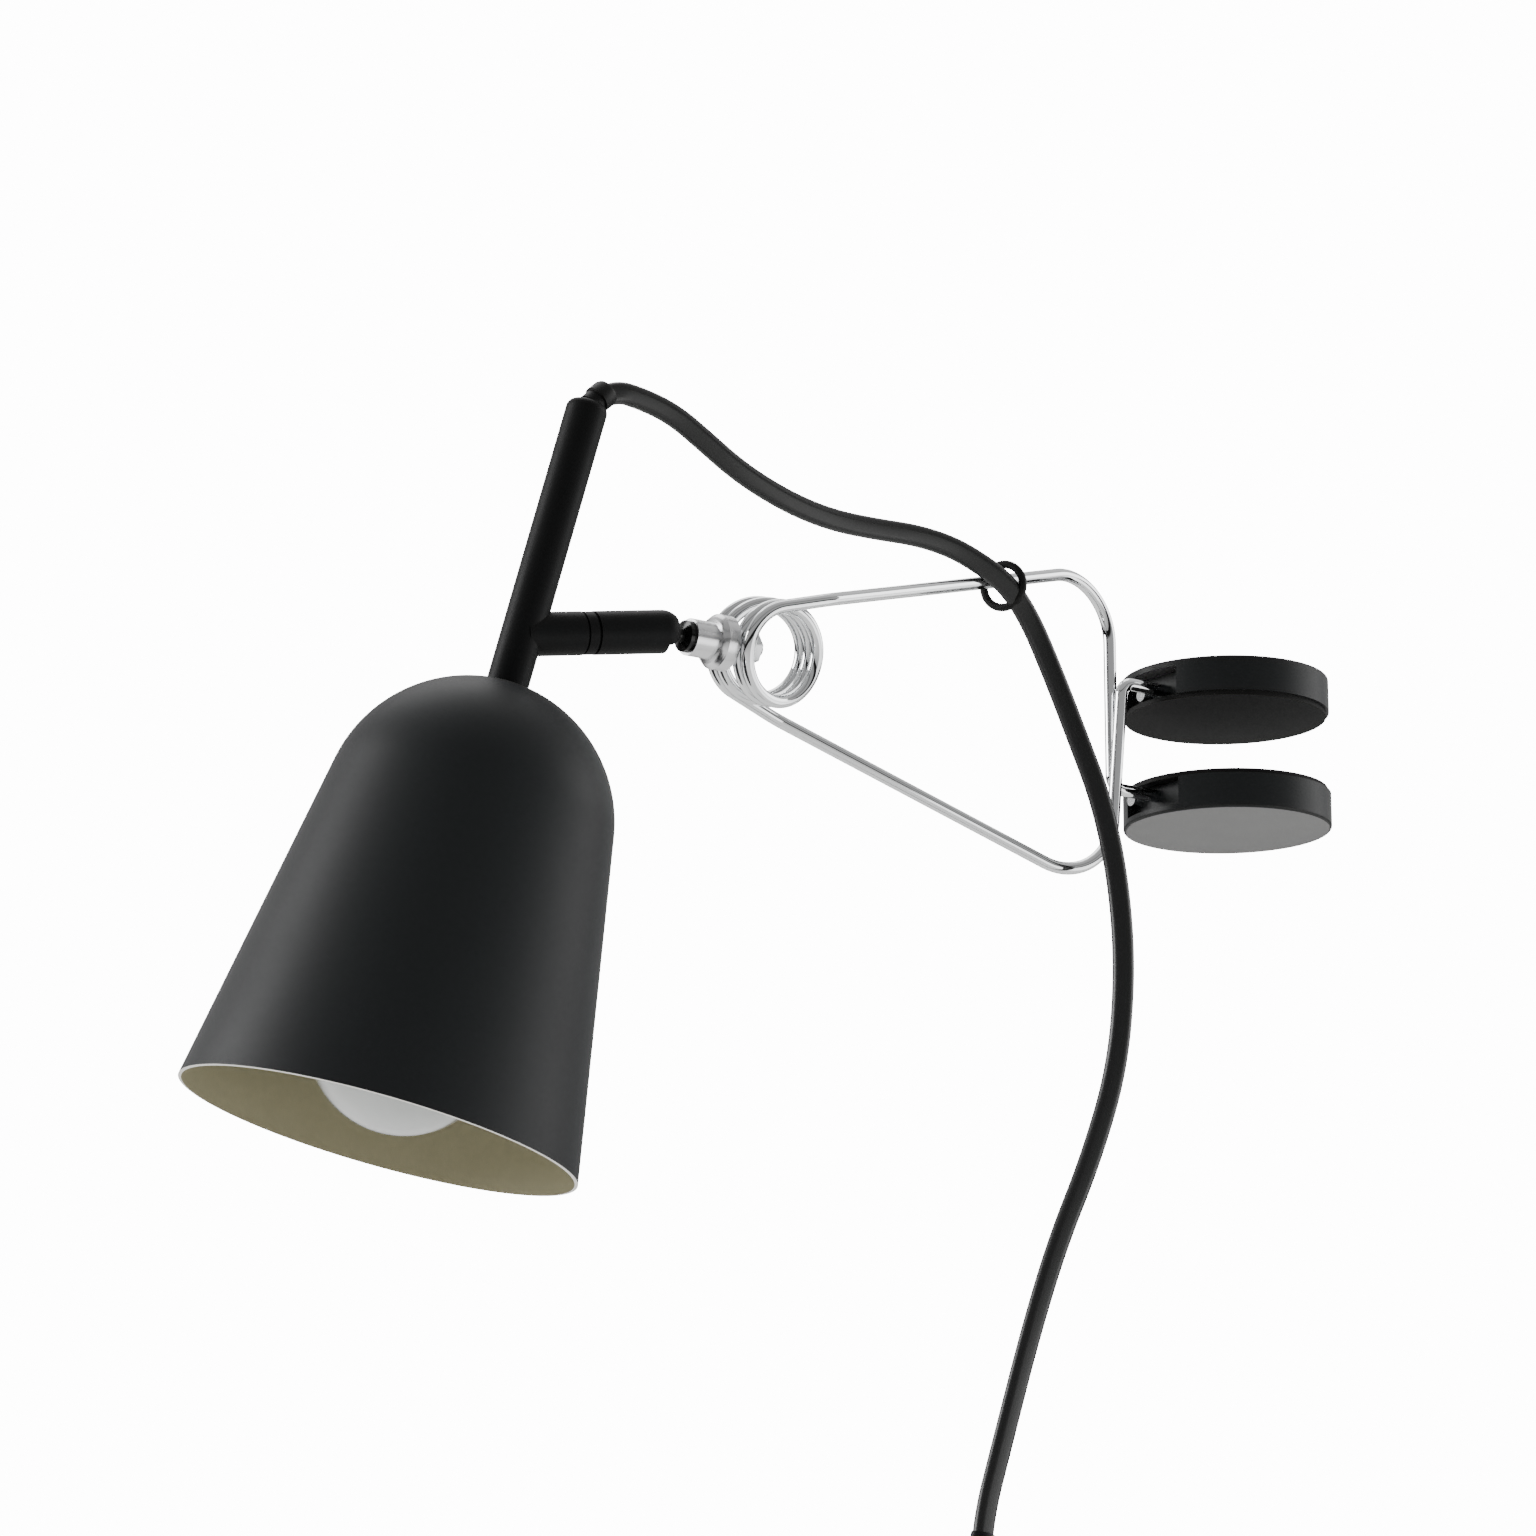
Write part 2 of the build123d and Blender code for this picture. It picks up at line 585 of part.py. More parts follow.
def shade_solid(inset, low):
    """The bell as a full solid, its outline set in by a wall's thickness."""
    rim, tangent, middle, top = shade_outline(inset)
    slope = (rim - tangent[0]) / tangent[1]
    edges = [
        Line((0, 0, low), (rim - slope * low, 0, low)),
        Line((rim - slope * low, 0, low), (tangent[0], 0, tangent[1])),
        ThreePointArc((tangent[0], 0, tangent[1]), (middle[0], 0, middle[1]), (top[0], 0, top[1])),
        Line((top[0], 0, top[1]), (0, 0, low)),
    ]
    return SHADE_FRAME.location * revolve(make_face(edges), Axis.Z)


def shade():
    """Spun bell, open below, with the hole for the nipple at its top."""
    bell = shade_solid(0, 0) - shade_solid(SHADE_WALL, -1)
    return bell - disc(SHADE_FRAME, NIPPLE, SHADE_HEIGHT - 4, SHADE_HEIGHT + 4)


def shade_nipple():
    """Threaded nipple that joins stem, shade and lampholder."""
    return ring(SHADE_FRAME, NIPPLE, NIPPLE_BORE, LAMPHOLDER_TOP - 5, SHADE_HEIGHT + 9)


def shade_washer():
    """Washer under the shade's top."""
    low = WASHER_TOP - SHADE_WASHER_THICKNESS
    return ring(SHADE_FRAME, 2 * WASHER_RADIUS, NIPPLE, low, WASHER_TOP)


def shade_nut():
    """Nut that draws the shade against the stem."""
    return hexagon(SHADE_FRAME, 12.0, NIPPLE, LAMPHOLDER_TOP, LAMPHOLDER_TOP + SHADE_NUT_HEIGHT)


def lampholder_cap():
    """Domed top of the lampholder, screwed onto the nipple."""
    outer = LAMPHOLDER / 2
    wall = 2.0
    neck = NIPPLE / 2
    cap = turned(
        SHADE_FRAME,
        [
            (neck, LAMPHOLDER_TOP - 5),
            (neck, LAMPHOLDER_TOP),
            (neck + 3, LAMPHOLDER_TOP),
            (outer - 4, LAMPHOLDER_TOP - 2.5),
            (outer, LAMPHOLDER_TOP - 7),
            (outer, LAMPHOLDER_SPLIT),
            (outer - wall, LAMPHOLDER_SPLIT),
            (outer - wall, LAMPHOLDER_TOP - 7.5),
            (neck + 2.5, LAMPHOLDER_TOP - 5),
        ],
    )
    return cap


def lampholder_shell():
    """Outer barrel of the lampholder."""
    outer = LAMPHOLDER / 2
    return turned(
        SHADE_FRAME,
        [
            (outer - 3.2, LAMPHOLDER_MOUTH),
            (outer - 0.6, LAMPHOLDER_MOUTH),
            (outer, LAMPHOLDER_MOUTH + 3),
            (outer, LAMPHOLDER_SPLIT),
            (outer - 3.2, LAMPHOLDER_SPLIT),
        ],
    )


def lampholder_insert():
    """Heat proof core that carries the contacts."""
    outer = LAMPHOLDER - 6.4
    top = BULB_LENGTH + 7
    core = disc(SHADE_FRAME, outer, LAMPHOLDER_MOUTH + 1, top)
    core -= disc(SHADE_FRAME, BULB_CAP + 1.8, LAMPHOLDER_MOUTH, BULB_LENGTH + 1)
    for side in (-1, 1):
        place = SHADE_FRAME.location * Pos(0, side * 5.5, BULB_LENGTH)
        core -= place * Cylinder(1.2, 20)
    return core


def lampholder_thread():
    """Brass sleeve that the bulb screws into."""
    return ring(SHADE_FRAME, BULB_CAP + 1.8, BULB_CAP + 2 * PLAY, LAMPHOLDER_MOUTH + 2, BULB_LENGTH - 2)


def lampholder_contact():
    """Spring tongue that meets the bulb's tip."""
    return disc(SHADE_FRAME, 6.0, BULB_LENGTH, BULB_LENGTH + 1)


def bulb_solid(wall):
    """The bulb's shape, set in by a wall's thickness: a sphere drawn in to a short neck."""
    radius = BULB / 2 - wall
    centre = BULB / 2
    leave = math.radians(52)
    low = (0, 0, wall)
    shoulder = (radius * math.cos(leave), 0, centre + radius * math.sin(leave))
    neck = BULB_CAP / 2 - 0.4 - wall
    top = BULB_CAP_START + wall
    edges = [
        ThreePointArc(low, (radius, 0, centre), shoulder),
        Spline(
            shoulder,
            (neck, 0, top),
            tangents=[(-math.sin(leave), 0, math.cos(leave)), (0, 0, 1)],
            tangent_scalars=[1.0, 1.2],
        ),
        Line((neck, 0, top), (0, 0, top)),
        Line((0, 0, top), low),
    ]
    return SHADE_FRAME.location * revolve(make_face(edges), Axis.Z)


def bulb_glass():
    """Round opal bulb, hollow and open at its neck."""
    solid = bulb_solid(0) - bulb_solid(BULB_WALL)
    return solid - disc(SHADE_FRAME, BULB_CAP - 0.8 - 2 * BULB_WALL, BULB_CAP_START - 1, BULB_CAP_START + 1)


def bulb_cap():
    """Threaded metal cap of the bulb, drawn as a ribbed barrel."""
    threads = 6
    pitch = 2.8
    radius = BULB_CAP / 2
    points = [(0, BULB_CAP_START), (radius - 0.3, BULB_CAP_START)]
    for i in range(threads):
        low = BULB_CAP_START + 1.5 + i * pitch
        points += [(radius - 0.9, low), (radius, low + pitch / 2)]
    tip = 2.6
    points += [(radius - 0.9, BULB_LENGTH - 3.5), (tip, BULB_LENGTH - 1), (tip, BULB_LENGTH), (0, BULB_LENGTH)]
    return turned(SHADE_FRAME, points)


# ---------------------------------------------------------------- cord on the outside
# Bridge from the stem's sleeve to the ring, in stretches that hang between the moving parts.
BRIDGE_POINTS = [
    (-190.3, -1.8, 71.1),
    (-180.5, -2.2, 70.0),
    (-172.0, -2.4, 67.6),
    (-163.6, -2.4, 62.9),
    (-155.0, -2.4, 57.9),
    (-146.0, -2.4, 54.2),
    (-136.0, -2.4, 51.3),
    (-125.0, -2.4, 49.7),
    (-113.0, -2.9, 49.6),
    (-101.8, -3.9, 49.8),
    (-92.4, -5.1, 48.4),
    (-85.2, -6.2, 45.7),
]
FIRST_SPLIT = 3
SECOND_SPLIT = 7

# Drop from the ring to the switch, hanging free.
DROP_POINTS = [
    (-69.2, -7.4, 33.2),
    (-62.6, -8.5, 19.0),
    (-56.6, -10.2, 3.4),
    (-51.4, -12.6, -12.2),
    (-48.0, -14.4, -32.0),
    (-46.9, -15.0, -54.6),
    (-49.8, -15.0, -79.0),
    (-58.6, -15.0, -102.4),
    (-69.4, -15.0, -124.0),
    (-78.2, -15.0, -147.0),
    (-86.0, -15.0, -170.6),
    (SWITCH_X, CORD_Y, -193.4),
]


def ring_wire_point():
    """Where the upper leg's wire passes the rubber ring."""
    _, start = leg_start(leg_ends()[0])
    share = (RING_X - start.X) / (UPPER_CORNER.X - start.X)
    return start + (UPPER_CORNER - start) * share


def cord_ring():
    """Rubber ring that ties the cord to the upper leg."""
    section = RING_SECTION / 2
    plane = Plane(origin=ring_wire_point() + RING_FROM_WIRE, z_dir=RING_NORMAL)
    return plane.location * Torus(RING_OUTSIDE / 2 - section, section)


def cord_in_ring():
    """Where the cord passes the rubber ring."""
    return ring_wire_point() + CORD_FROM_WIRE


def between(first, second):
    """The point half way between two places."""
    return (Vector(*first) + Vector(*second)) * 0.5


def bridge_routes():
    """Routes of the three stretches: neighbours share the middle of the run that joins them."""
    first_middle = between(BRIDGE_POINTS[FIRST_SPLIT], BRIDGE_POINTS[FIRST_SPLIT + 1])
    second_middle = between(BRIDGE_POINTS[SECOND_SPLIT], BRIDGE_POINTS[SECOND_SPLIT + 1])
    last_middle = between(BRIDGE_POINTS[-1], cord_in_ring())
    first = [CORD_START, *BRIDGE_POINTS[: FIRST_SPLIT + 1], first_middle]
    second = [first_middle, *BRIDGE_POINTS[FIRST_SPLIT + 1 : SECOND_SPLIT + 1], second_middle]
    third = [second_middle, *BRIDGE_POINTS[SECOND_SPLIT + 1 :], last_middle]
    return first, second, third


def drop_route():
    """Route of the drop, through the ring and down to the switch."""
    start = between(BRIDGE_POINTS[-1], cord_in_ring())
    return [start, cord_in_ring(), *DROP_POINTS, (SWITCH_X, CORD_Y, SWITCH_TOP)]


def switch_shell(front):
    """One half of the switch housing: a rounded box with a hollow, front or back."""
    side = -1 if front else 1
    outer = Pos(SWITCH_X, CORD_Y + side * SWITCH_DEPTH / 4, SWITCH_Z) * Box(
        SWITCH_WIDTH, SWITCH_DEPTH / 2, SWITCH_LENGTH
    )
    outer = fillet(outer.edges().filter_by(Axis.Y), 5.0)
    hollow_depth = SWITCH_DEPTH / 2 - SWITCH_WALL
    hollow = Pos(SWITCH_X, CORD_Y + side * hollow_depth / 2, SWITCH_Z) * Box(
        SWITCH_WIDTH - 4, hollow_depth, SWITCH_LENGTH - 14
    )
    shell = outer - hollow
    for place in switch_screw_places():
        through = Vector(0, SWITCH_DEPTH, 0)
        shell -= rod(place - through, place + through, SCREW)
    if front:
        shell = rocker_window(shell)
    return shell


def rocker_window(shell):
    """The front half with its window for the key, and lugs that carry the key's pin."""
    window = Box(ROCKER_WIDTH + 2 * GAP, SWITCH_DEPTH / 2, ROCKER_LENGTH + 2 * ROCKER_ROOM)
    shell -= Pos(SWITCH_X, CORD_Y - SWITCH_DEPTH / 2, SWITCH_Z) * window
    lug = Box(1.6, 4.4, 5.0)
    for side in (-1, 1):
        shell += Pos(SWITCH_X + side * (ROCKER_WIDTH / 2 + GAP + 0.9), PIVOT_Y, SWITCH_Z) * lug
    reach = Vector(ROCKER_WIDTH / 2 + 2.5, 0, 0)
    pivot = Vector(SWITCH_X, PIVOT_Y, SWITCH_Z)
    return shell - rod(pivot - reach, pivot + reach, ROCKER_PIN + 2 * RUNNING)


def switch_screw_places():
    """Centres of the two housing screws, on the split between the halves."""
    across = SWITCH_WIDTH / 2 - 4.0
    along = SWITCH_LENGTH / 2 - 8.0
    centre = Vector(SWITCH_X, CORD_Y, SWITCH_Z)
    return [centre + Vector(-across, 0, along), centre + Vector(across, 0, -along)]


def switch_screws():
    """Two screws through the housing, their heads sunk in the back half."""
    screws = []
    for place in switch_screw_places():
        back = place + Vector(0, SWITCH_DEPTH / 2, 0)
        screws.append(rod(place - Vector(0, SWITCH_DEPTH / 2 - 2, 0), back - Vector(0, 0.2, 0), SCREW))
    return Compound(children=screws)


def switch_rocker():
    """Rocker key with its pivot pin, tilted to one side."""
    half = ROCKER_LENGTH / 2 - 0.4
    front = -ROCKER_PROUD - ROCKER_PIN_DEPTH
    corners = [(0, 1.8, -half), (0, front, -half), (0, front + 1.2, 0), (0, front, half), (0, 1.8, half)]
    face = make_face(Polyline(*corners, close=True))
    key = Pos(-ROCKER_WIDTH / 2, 0, 0) * extrude(face, amount=ROCKER_WIDTH, dir=(1, 0, 0))
    reach = ROCKER_WIDTH / 2 + 2.0
    pin = rod((-reach, 0, 0), (reach, 0, 0), ROCKER_PIN)
    return Pos(SWITCH_X, PIVOT_Y, SWITCH_Z) * (Rot(ROCKER_TILT, 0, 0) * (key + pin))


def cord_coil():
    """Outer shape of the tied coil of spare cord, hanging below the switch."""
    plane = Plane(origin=(SWITCH_X, CORD_Y, CORD_COIL_Z), x_dir=(1, 0, 0), z_dir=(0, 1, 0))
    inner = COIL_TURN / 2 - CORD_COIL_WIDTH / 2
    outer = COIL_TURN / 2 + CORD_COIL_WIDTH / 2
    half = CORD_COIL_DEPTH / 2
    section = Polyline((inner, 0, -half), (outer, 0, -half), (outer, 0, half), (inner, 0, half), close=True)
    body = revolve(make_face(section), Axis.Z)
    body = fillet(body.edges().filter_by(GeomType.CIRCLE), 3.5)
    return plane.location * body


def cord_tie():
    """Twist tie round the coil, opposite the switch."""
    height = CORD_COIL_Z - COIL_TURN / 2
    blank = Pos(SWITCH_X, CORD_Y, height) * Box(5.0, CORD_COIL_DEPTH + 2.0, CORD_COIL_WIDTH + 2.0)
    blank = fillet(blank.edges().filter_by(Axis.X), 2.5)
    return blank - cord_coil()


def plug_body():
    """Flat two pin plug, drawn in towards the cord."""
    top = PLUG_TOP - PLUG_RELIEF
    lower = Pos(PLUG_X, CORD_Y, top - PLUG_LENGTH) * Rectangle(PLUG_THICKNESS, PLUG_WIDTH)
    upper = Pos(PLUG_X, CORD_Y, top) * Rectangle(9.0, 12.0)
    body = loft([lower.face(), upper.face()])
    return fillet(body.edges().filter_by(Axis.Z, reverse=True).sort_by(Axis.Z)[-4:], 1.5)


def plug_relief():
    """Ribbed sleeve where the cord enters the plug."""
    frame = Plane(origin=(PLUG_X, CORD_Y, PLUG_TOP), x_dir=(1, 0, 0), z_dir=(0, 0, -1))
    bore = CORD / 2
    points = [(bore, 0), (bore + 1.0, 0)]
    ribs = 3
    for i in range(ribs):
        low = 1.0 + i * 2.6
        points += [(bore + 1.0, low), (bore + 1.7, low), (bore + 1.7, low + 1.6), (bore + 1.0, low + 1.6)]
    points += [(bore + 1.0, PLUG_RELIEF), (bore, PLUG_RELIEF)]
    return turned(frame, points)


def plug_pins():
    """The two contact pins."""
    face = PLUG_TOP - PLUG_RELIEF - PLUG_LENGTH
    pins = []
    for side in (-1, 1):
        y = CORD_Y + side * PLUG_PIN_PITCH / 2
        pins.append(rod((PLUG_X, y, face), (PLUG_X, y, face - PLUG_PIN_LENGTH), PLUG_PIN))
    return Compound(children=pins)


def cord_link():
    """Cord from the switch to the coil."""
    return rod((SWITCH_X, CORD_Y, SWITCH_BOTTOM), (SWITCH_X, CORD_Y, COIL_TOP), CORD)


def tail_route():
    """Route of the tail: up beside the coil, over in a half circle and down to the plug."""
    corner = TAIL_BEND / math.cos(math.pi / 8)
    points = [(TAIL_X, CORD_Y, PLUG_TOP)]
    for i in range(4):
        angle = math.pi * (7 - 2 * i) / 8
        across = corner * math.cos(angle)
        points.append((TAIL_X + TAIL_BEND + across, CORD_Y, TAIL_ARCH_Z + corner * math.sin(angle)))
    return [*points, (PLUG_X, CORD_Y, PLUG_TOP)]


# ---------------------------------------------------------------- build
def build():
    """Make every sub-part and write it."""
    upper_leg = upper_leg_path()
    lower_leg = lower_leg_path()
    nodes = {
        "spring_coil": spring_coil(),
        "upper_leg_wire": tube(upper_leg, WIRE),
        "lower_leg_wire": tube(lower_leg, WIRE),
    }
    for name, face_z, outward, path in (("lower", 0.0, -1, upper_leg), ("upper", BOARD, 1, lower_leg)):
        grip, body, cap = pad_parts(face_z, outward, path)
        nodes[f"{name}_pad_grip"] = grip
        nodes[f"{name}_pad_body"] = body
        nodes[f"{name}_pad_cap"] = cap
    makers = (
        ball_stud, clamp_cup, clamp_saddle, clamp_nut, ball_seat, arm_sleeve, seat_plug,
        arm_branch, swivel_ring, swivel_screw, swivel_washer, stem_tube, stem_plug, cord_sleeve, inner_flex,
        shade, shade_nipple, shade_washer, shade_nut, lampholder_cap, lampholder_shell, lampholder_insert,
        lampholder_thread, lampholder_contact, bulb_glass, bulb_cap, cord_ring, cord_link, cord_coil, cord_tie,
        switch_screws, switch_rocker, plug_body, plug_relief, plug_pins,
    )
    for maker in makers:
        nodes[maker.__name__] = maker()
    nodes["switch_cover"] = switch_shell(True)
    nodes["switch_base"] = switch_shell(False)
    for i, route in enumerate(bridge_routes(), 1):
        nodes[f"cord_bridge_{i}"] = cord_tube(f"cord_bridge_{i}", route)
    nodes["cord_drop"] = cord_tube("cord_drop", drop_route())
    nodes["cord_tail"] = cord_tube("cord_tail", tail_route())
    os.makedirs("parts", exist_ok=True)
    for node, shape in nodes.items():
        save(shape, node)
    print(len(nodes), "nodes")


build()
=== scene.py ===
"""Clip on reading lamp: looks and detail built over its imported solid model.

Everything is in metres, in the solid model's own frame: +X into the shelf, +Y along its front
edge, +Z up, with the origin at the middle of the lower pad's gripping face.
"""

import json
import logging
import math
from dataclasses import dataclass, field
from enum import Enum
from typing import Callable, Optional, Sequence

import bmesh
import bpy
from mathutils import Matrix, Vector
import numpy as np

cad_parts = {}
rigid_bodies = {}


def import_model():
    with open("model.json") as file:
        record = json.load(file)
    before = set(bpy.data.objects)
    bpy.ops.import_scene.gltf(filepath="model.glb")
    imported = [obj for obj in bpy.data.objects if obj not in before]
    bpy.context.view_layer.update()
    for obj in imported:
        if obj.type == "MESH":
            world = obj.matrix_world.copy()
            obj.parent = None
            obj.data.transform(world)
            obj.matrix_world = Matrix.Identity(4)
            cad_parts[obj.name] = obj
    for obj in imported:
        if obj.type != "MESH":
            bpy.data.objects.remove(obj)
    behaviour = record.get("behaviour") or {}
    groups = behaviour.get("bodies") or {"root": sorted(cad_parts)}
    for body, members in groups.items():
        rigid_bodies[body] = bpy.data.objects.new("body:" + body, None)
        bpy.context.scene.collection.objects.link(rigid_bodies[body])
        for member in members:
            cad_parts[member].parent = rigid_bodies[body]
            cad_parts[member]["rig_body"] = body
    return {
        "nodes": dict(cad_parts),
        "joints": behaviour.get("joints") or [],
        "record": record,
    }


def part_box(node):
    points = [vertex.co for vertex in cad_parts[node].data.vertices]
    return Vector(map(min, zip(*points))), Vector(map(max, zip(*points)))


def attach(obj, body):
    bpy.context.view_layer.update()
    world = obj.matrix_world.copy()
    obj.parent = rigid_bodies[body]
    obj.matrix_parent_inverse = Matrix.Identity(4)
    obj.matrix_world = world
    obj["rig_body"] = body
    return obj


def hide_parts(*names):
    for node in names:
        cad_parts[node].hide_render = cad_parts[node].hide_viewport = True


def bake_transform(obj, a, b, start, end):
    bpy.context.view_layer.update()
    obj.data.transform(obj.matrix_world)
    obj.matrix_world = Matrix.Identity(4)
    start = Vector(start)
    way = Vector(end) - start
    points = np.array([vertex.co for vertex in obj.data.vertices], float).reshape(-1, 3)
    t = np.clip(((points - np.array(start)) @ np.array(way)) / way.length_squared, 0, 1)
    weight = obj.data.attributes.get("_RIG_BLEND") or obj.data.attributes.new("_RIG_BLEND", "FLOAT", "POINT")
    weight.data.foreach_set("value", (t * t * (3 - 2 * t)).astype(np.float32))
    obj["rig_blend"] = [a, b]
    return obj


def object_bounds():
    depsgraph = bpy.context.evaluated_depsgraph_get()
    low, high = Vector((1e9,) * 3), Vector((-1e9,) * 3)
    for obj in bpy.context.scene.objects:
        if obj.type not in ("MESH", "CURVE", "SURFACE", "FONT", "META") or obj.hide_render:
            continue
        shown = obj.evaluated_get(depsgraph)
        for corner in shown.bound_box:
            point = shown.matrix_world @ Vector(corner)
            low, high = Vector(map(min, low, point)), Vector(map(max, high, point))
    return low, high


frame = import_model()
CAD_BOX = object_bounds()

LOG = logging.getLogger("lamp")
MM = 0.001
SMOOTH_ANGLE = math.radians(32)


# ---------------------------------------------------------------- places from the frame
def joint(name: str) -> dict:
    """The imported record's joint of that name.

    Args:
        name: the joint's name.

    Returns:
        The joint as the record holds it.
    """
    return next(j for j in frame["joints"] if j["name"] == name)


def body_of(node: str) -> str:
    """Name of the moving body that a solid belongs to."""
    return frame["nodes"][node]["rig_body"]


def slot_of(node: str) -> Optional[str]:
    """Name of the record's material slot that a solid takes its finish from."""
    for part in frame["record"]["subparts"]:
        if part.get("node") == node:
            return part.get("material_slot") or part.get("slot") or part.get("material")
    return None


@dataclass(frozen=True)
class Axes:
    """A place with its own directions: turned pieces stand on its origin, along its z."""

    origin: Vector
    z: Vector

    @property
    def x(self) -> Vector:
        """A direction square to z, near the frame's +Y."""
        return (Vector((0, 1, 0)) - self.z * self.z.y).normalized()

    @property
    def y(self) -> Vector:
        """The third direction."""
        return self.z.cross(self.x)

    def turn(self, radius: float, angle: float, height: float) -> Vector:
        """A point at a radius, an angle and a height about z."""
        across = self.x * math.cos(angle) + self.y * math.sin(angle)
        return self.origin + across * radius + self.z * height


BALL = Vector(joint("ball_pan")["pos_m"])
COIL = Vector(joint("jaw_open")["pos_m"])
ARM_DIRECTION = Vector(joint("head_swivel")["axis"]).normalized()
STEM_DIRECTION = Vector((0.223, -0.126, 0.967)).normalized()
ARM_LENGTH = 36.0 * MM
STEM_BELOW = 12.8 * MM
SHADE_HEIGHT = 109.0 * MM
ARM_ROOT = BALL - ARM_DIRECTION * ARM_LENGTH
RIM = Axes(ARM_ROOT - STEM_DIRECTION * (STEM_BELOW + SHADE_HEIGHT), STEM_DIRECTION)

# ---------------------------------------------------------------- route of the cord
CORD_START = (-0.1959, -0.00155, 0.0661)
BRIDGE_POINTS = (
    (-0.1903, -0.0018, 0.0711),
    (-0.1805, -0.0022, 0.0700),
    (-0.1720, -0.0024, 0.0676),
    (-0.1636, -0.0024, 0.0629),
    (-0.1550, -0.0024, 0.0579),
    (-0.1460, -0.0024, 0.0542),
    (-0.1360, -0.0024, 0.0513),
    (-0.1250, -0.0024, 0.0497),
    (-0.1130, -0.0029, 0.0496),
    (-0.1018, -0.0039, 0.0498),
    (-0.0924, -0.0051, 0.0484),
    (-0.0852, -0.0062, 0.0457),
)
CORD_IN_RING = (-0.0768, -0.00767, 0.04107)
DROP_POINTS = (
    (-0.0692, -0.0074, 0.0332),
    (-0.0626, -0.0085, 0.0190),
    (-0.0566, -0.0102, 0.0034),
    (-0.0514, -0.0126, -0.0122),
    (-0.0480, -0.0144, -0.0320),
    (-0.0469, -0.0150, -0.0546),
    (-0.0498, -0.0150, -0.0790),
    (-0.0586, -0.0150, -0.1024),
    (-0.0694, -0.0150, -0.1240),
    (-0.0782, -0.0150, -0.1470),
    (-0.0860, -0.0150, -0.1706),
    (-0.0935, -0.0150, -0.1934),
    (-0.0935, -0.0150, -0.2050),
)


# ---------------------------------------------------------------- shader groups and finishes
class GroupBuilder:
    """Builds one shader node group with named inputs and outputs."""

    def __init__(self, name: str) -> None:
        """Start an empty group.

        Args:
            name: the group's name.
        """
        self.tree = bpy.data.node_groups.new(name, "ShaderNodeTree")
        self.inside = self.tree.nodes.new("NodeGroupInput")
        self.outside = self.tree.nodes.new("NodeGroupOutput")

    def socket(self, name: str, kind: str, is_input: bool = True, value: object = None) -> None:
        """Add a named socket.

        Args:
            name: what it is called.
            kind: Float, Color or Vector.
            is_input: whether it feeds the group.
            value: its value when nothing is linked.
        """
        made = self.tree.interface.new_socket(
            name=name, in_out="INPUT" if is_input else "OUTPUT", socket_type=f"NodeSocket{kind}"
        )
        if value is not None:
            made.default_value = value

    def node(self, kind: str, links: Optional[dict] = None, **values: object) -> bpy.types.Node:
        """Add a node, set its options and link its inputs.

        Args:
            kind: the node's type, without its ShaderNode prefix.
            links: input name or number to the output socket that feeds it, or to a value.
            values: properties of the node.

        Returns:
            The new node.
        """
        return add_node(self.tree, kind, links, **values)


def add_node(
    tree: bpy.types.NodeTree, kind: str, links: Optional[dict] = None, **values: object
) -> bpy.types.Node:
    """Add a shader node to a tree, set its options and link its inputs.

    Args:
        tree: where it goes.
        kind: the node's type, without its ShaderNode prefix.
        links: input name or number to the output socket that feeds it, or to a value.
        values: properties of the node.

    Returns:
        The new node.
    """
    made = tree.nodes.new(f"ShaderNode{kind}")
    for key, value in values.items():
        setattr(made, key, value)
    for key, source in (links or {}).items():
        if isinstance(source, bpy.types.NodeSocket):
            tree.links.new(source, made.inputs[key])
        else:
            made.inputs[key].default_value = source
    return made


def grain_group() -> bpy.types.NodeTree:
    """Fine grain over a broad unevenness, shared by paints, plastics and rubber.

    Returns:
        The group: Height for a bump, and a Roughness that varies.
    """
    build = GroupBuilder("fine_grain")
    build.socket("Scale", "Float", value=2400.0)
    build.socket("Roughness", "Float", value=0.5)
    build.socket("Spread", "Float", value=0.08)
    build.socket("Height", "Float", is_input=False)
    build.socket("Roughness", "Float", is_input=False)
    place = build.node("TexCoord").outputs["Object"]
    fine = build.node("TexNoise", {"Vector": place, "Scale": build.inside.outputs["Scale"], "Detail": 3.0})
    broad = build.node("TexNoise", {"Vector": place, "Scale": 60.0, "Detail": 5.0, "Roughness": 0.6})
    both = build.node("Math", {0: fine.outputs["Fac"], 1: 0.8}, operation="MULTIPLY")
    parts = {0: broad.outputs["Fac"], 1: 0.2, 2: both.outputs[0]}
    height = build.node("Math", parts, operation="MULTIPLY_ADD")
    centred = build.node("Math", {0: broad.outputs["Fac"], 1: 0.5}, operation="SUBTRACT")
    rough = build.node(
        "Math",
        {0: centred.outputs[0], 1: build.inside.outputs["Spread"], 2: build.inside.outputs["Roughness"]},
        operation="MULTIPLY_ADD",
    )
    build.tree.links.new(height.outputs[0], build.outside.inputs["Height"])
    build.tree.links.new(rough.outputs[0], build.outside.inputs["Roughness"])
    return build.tree


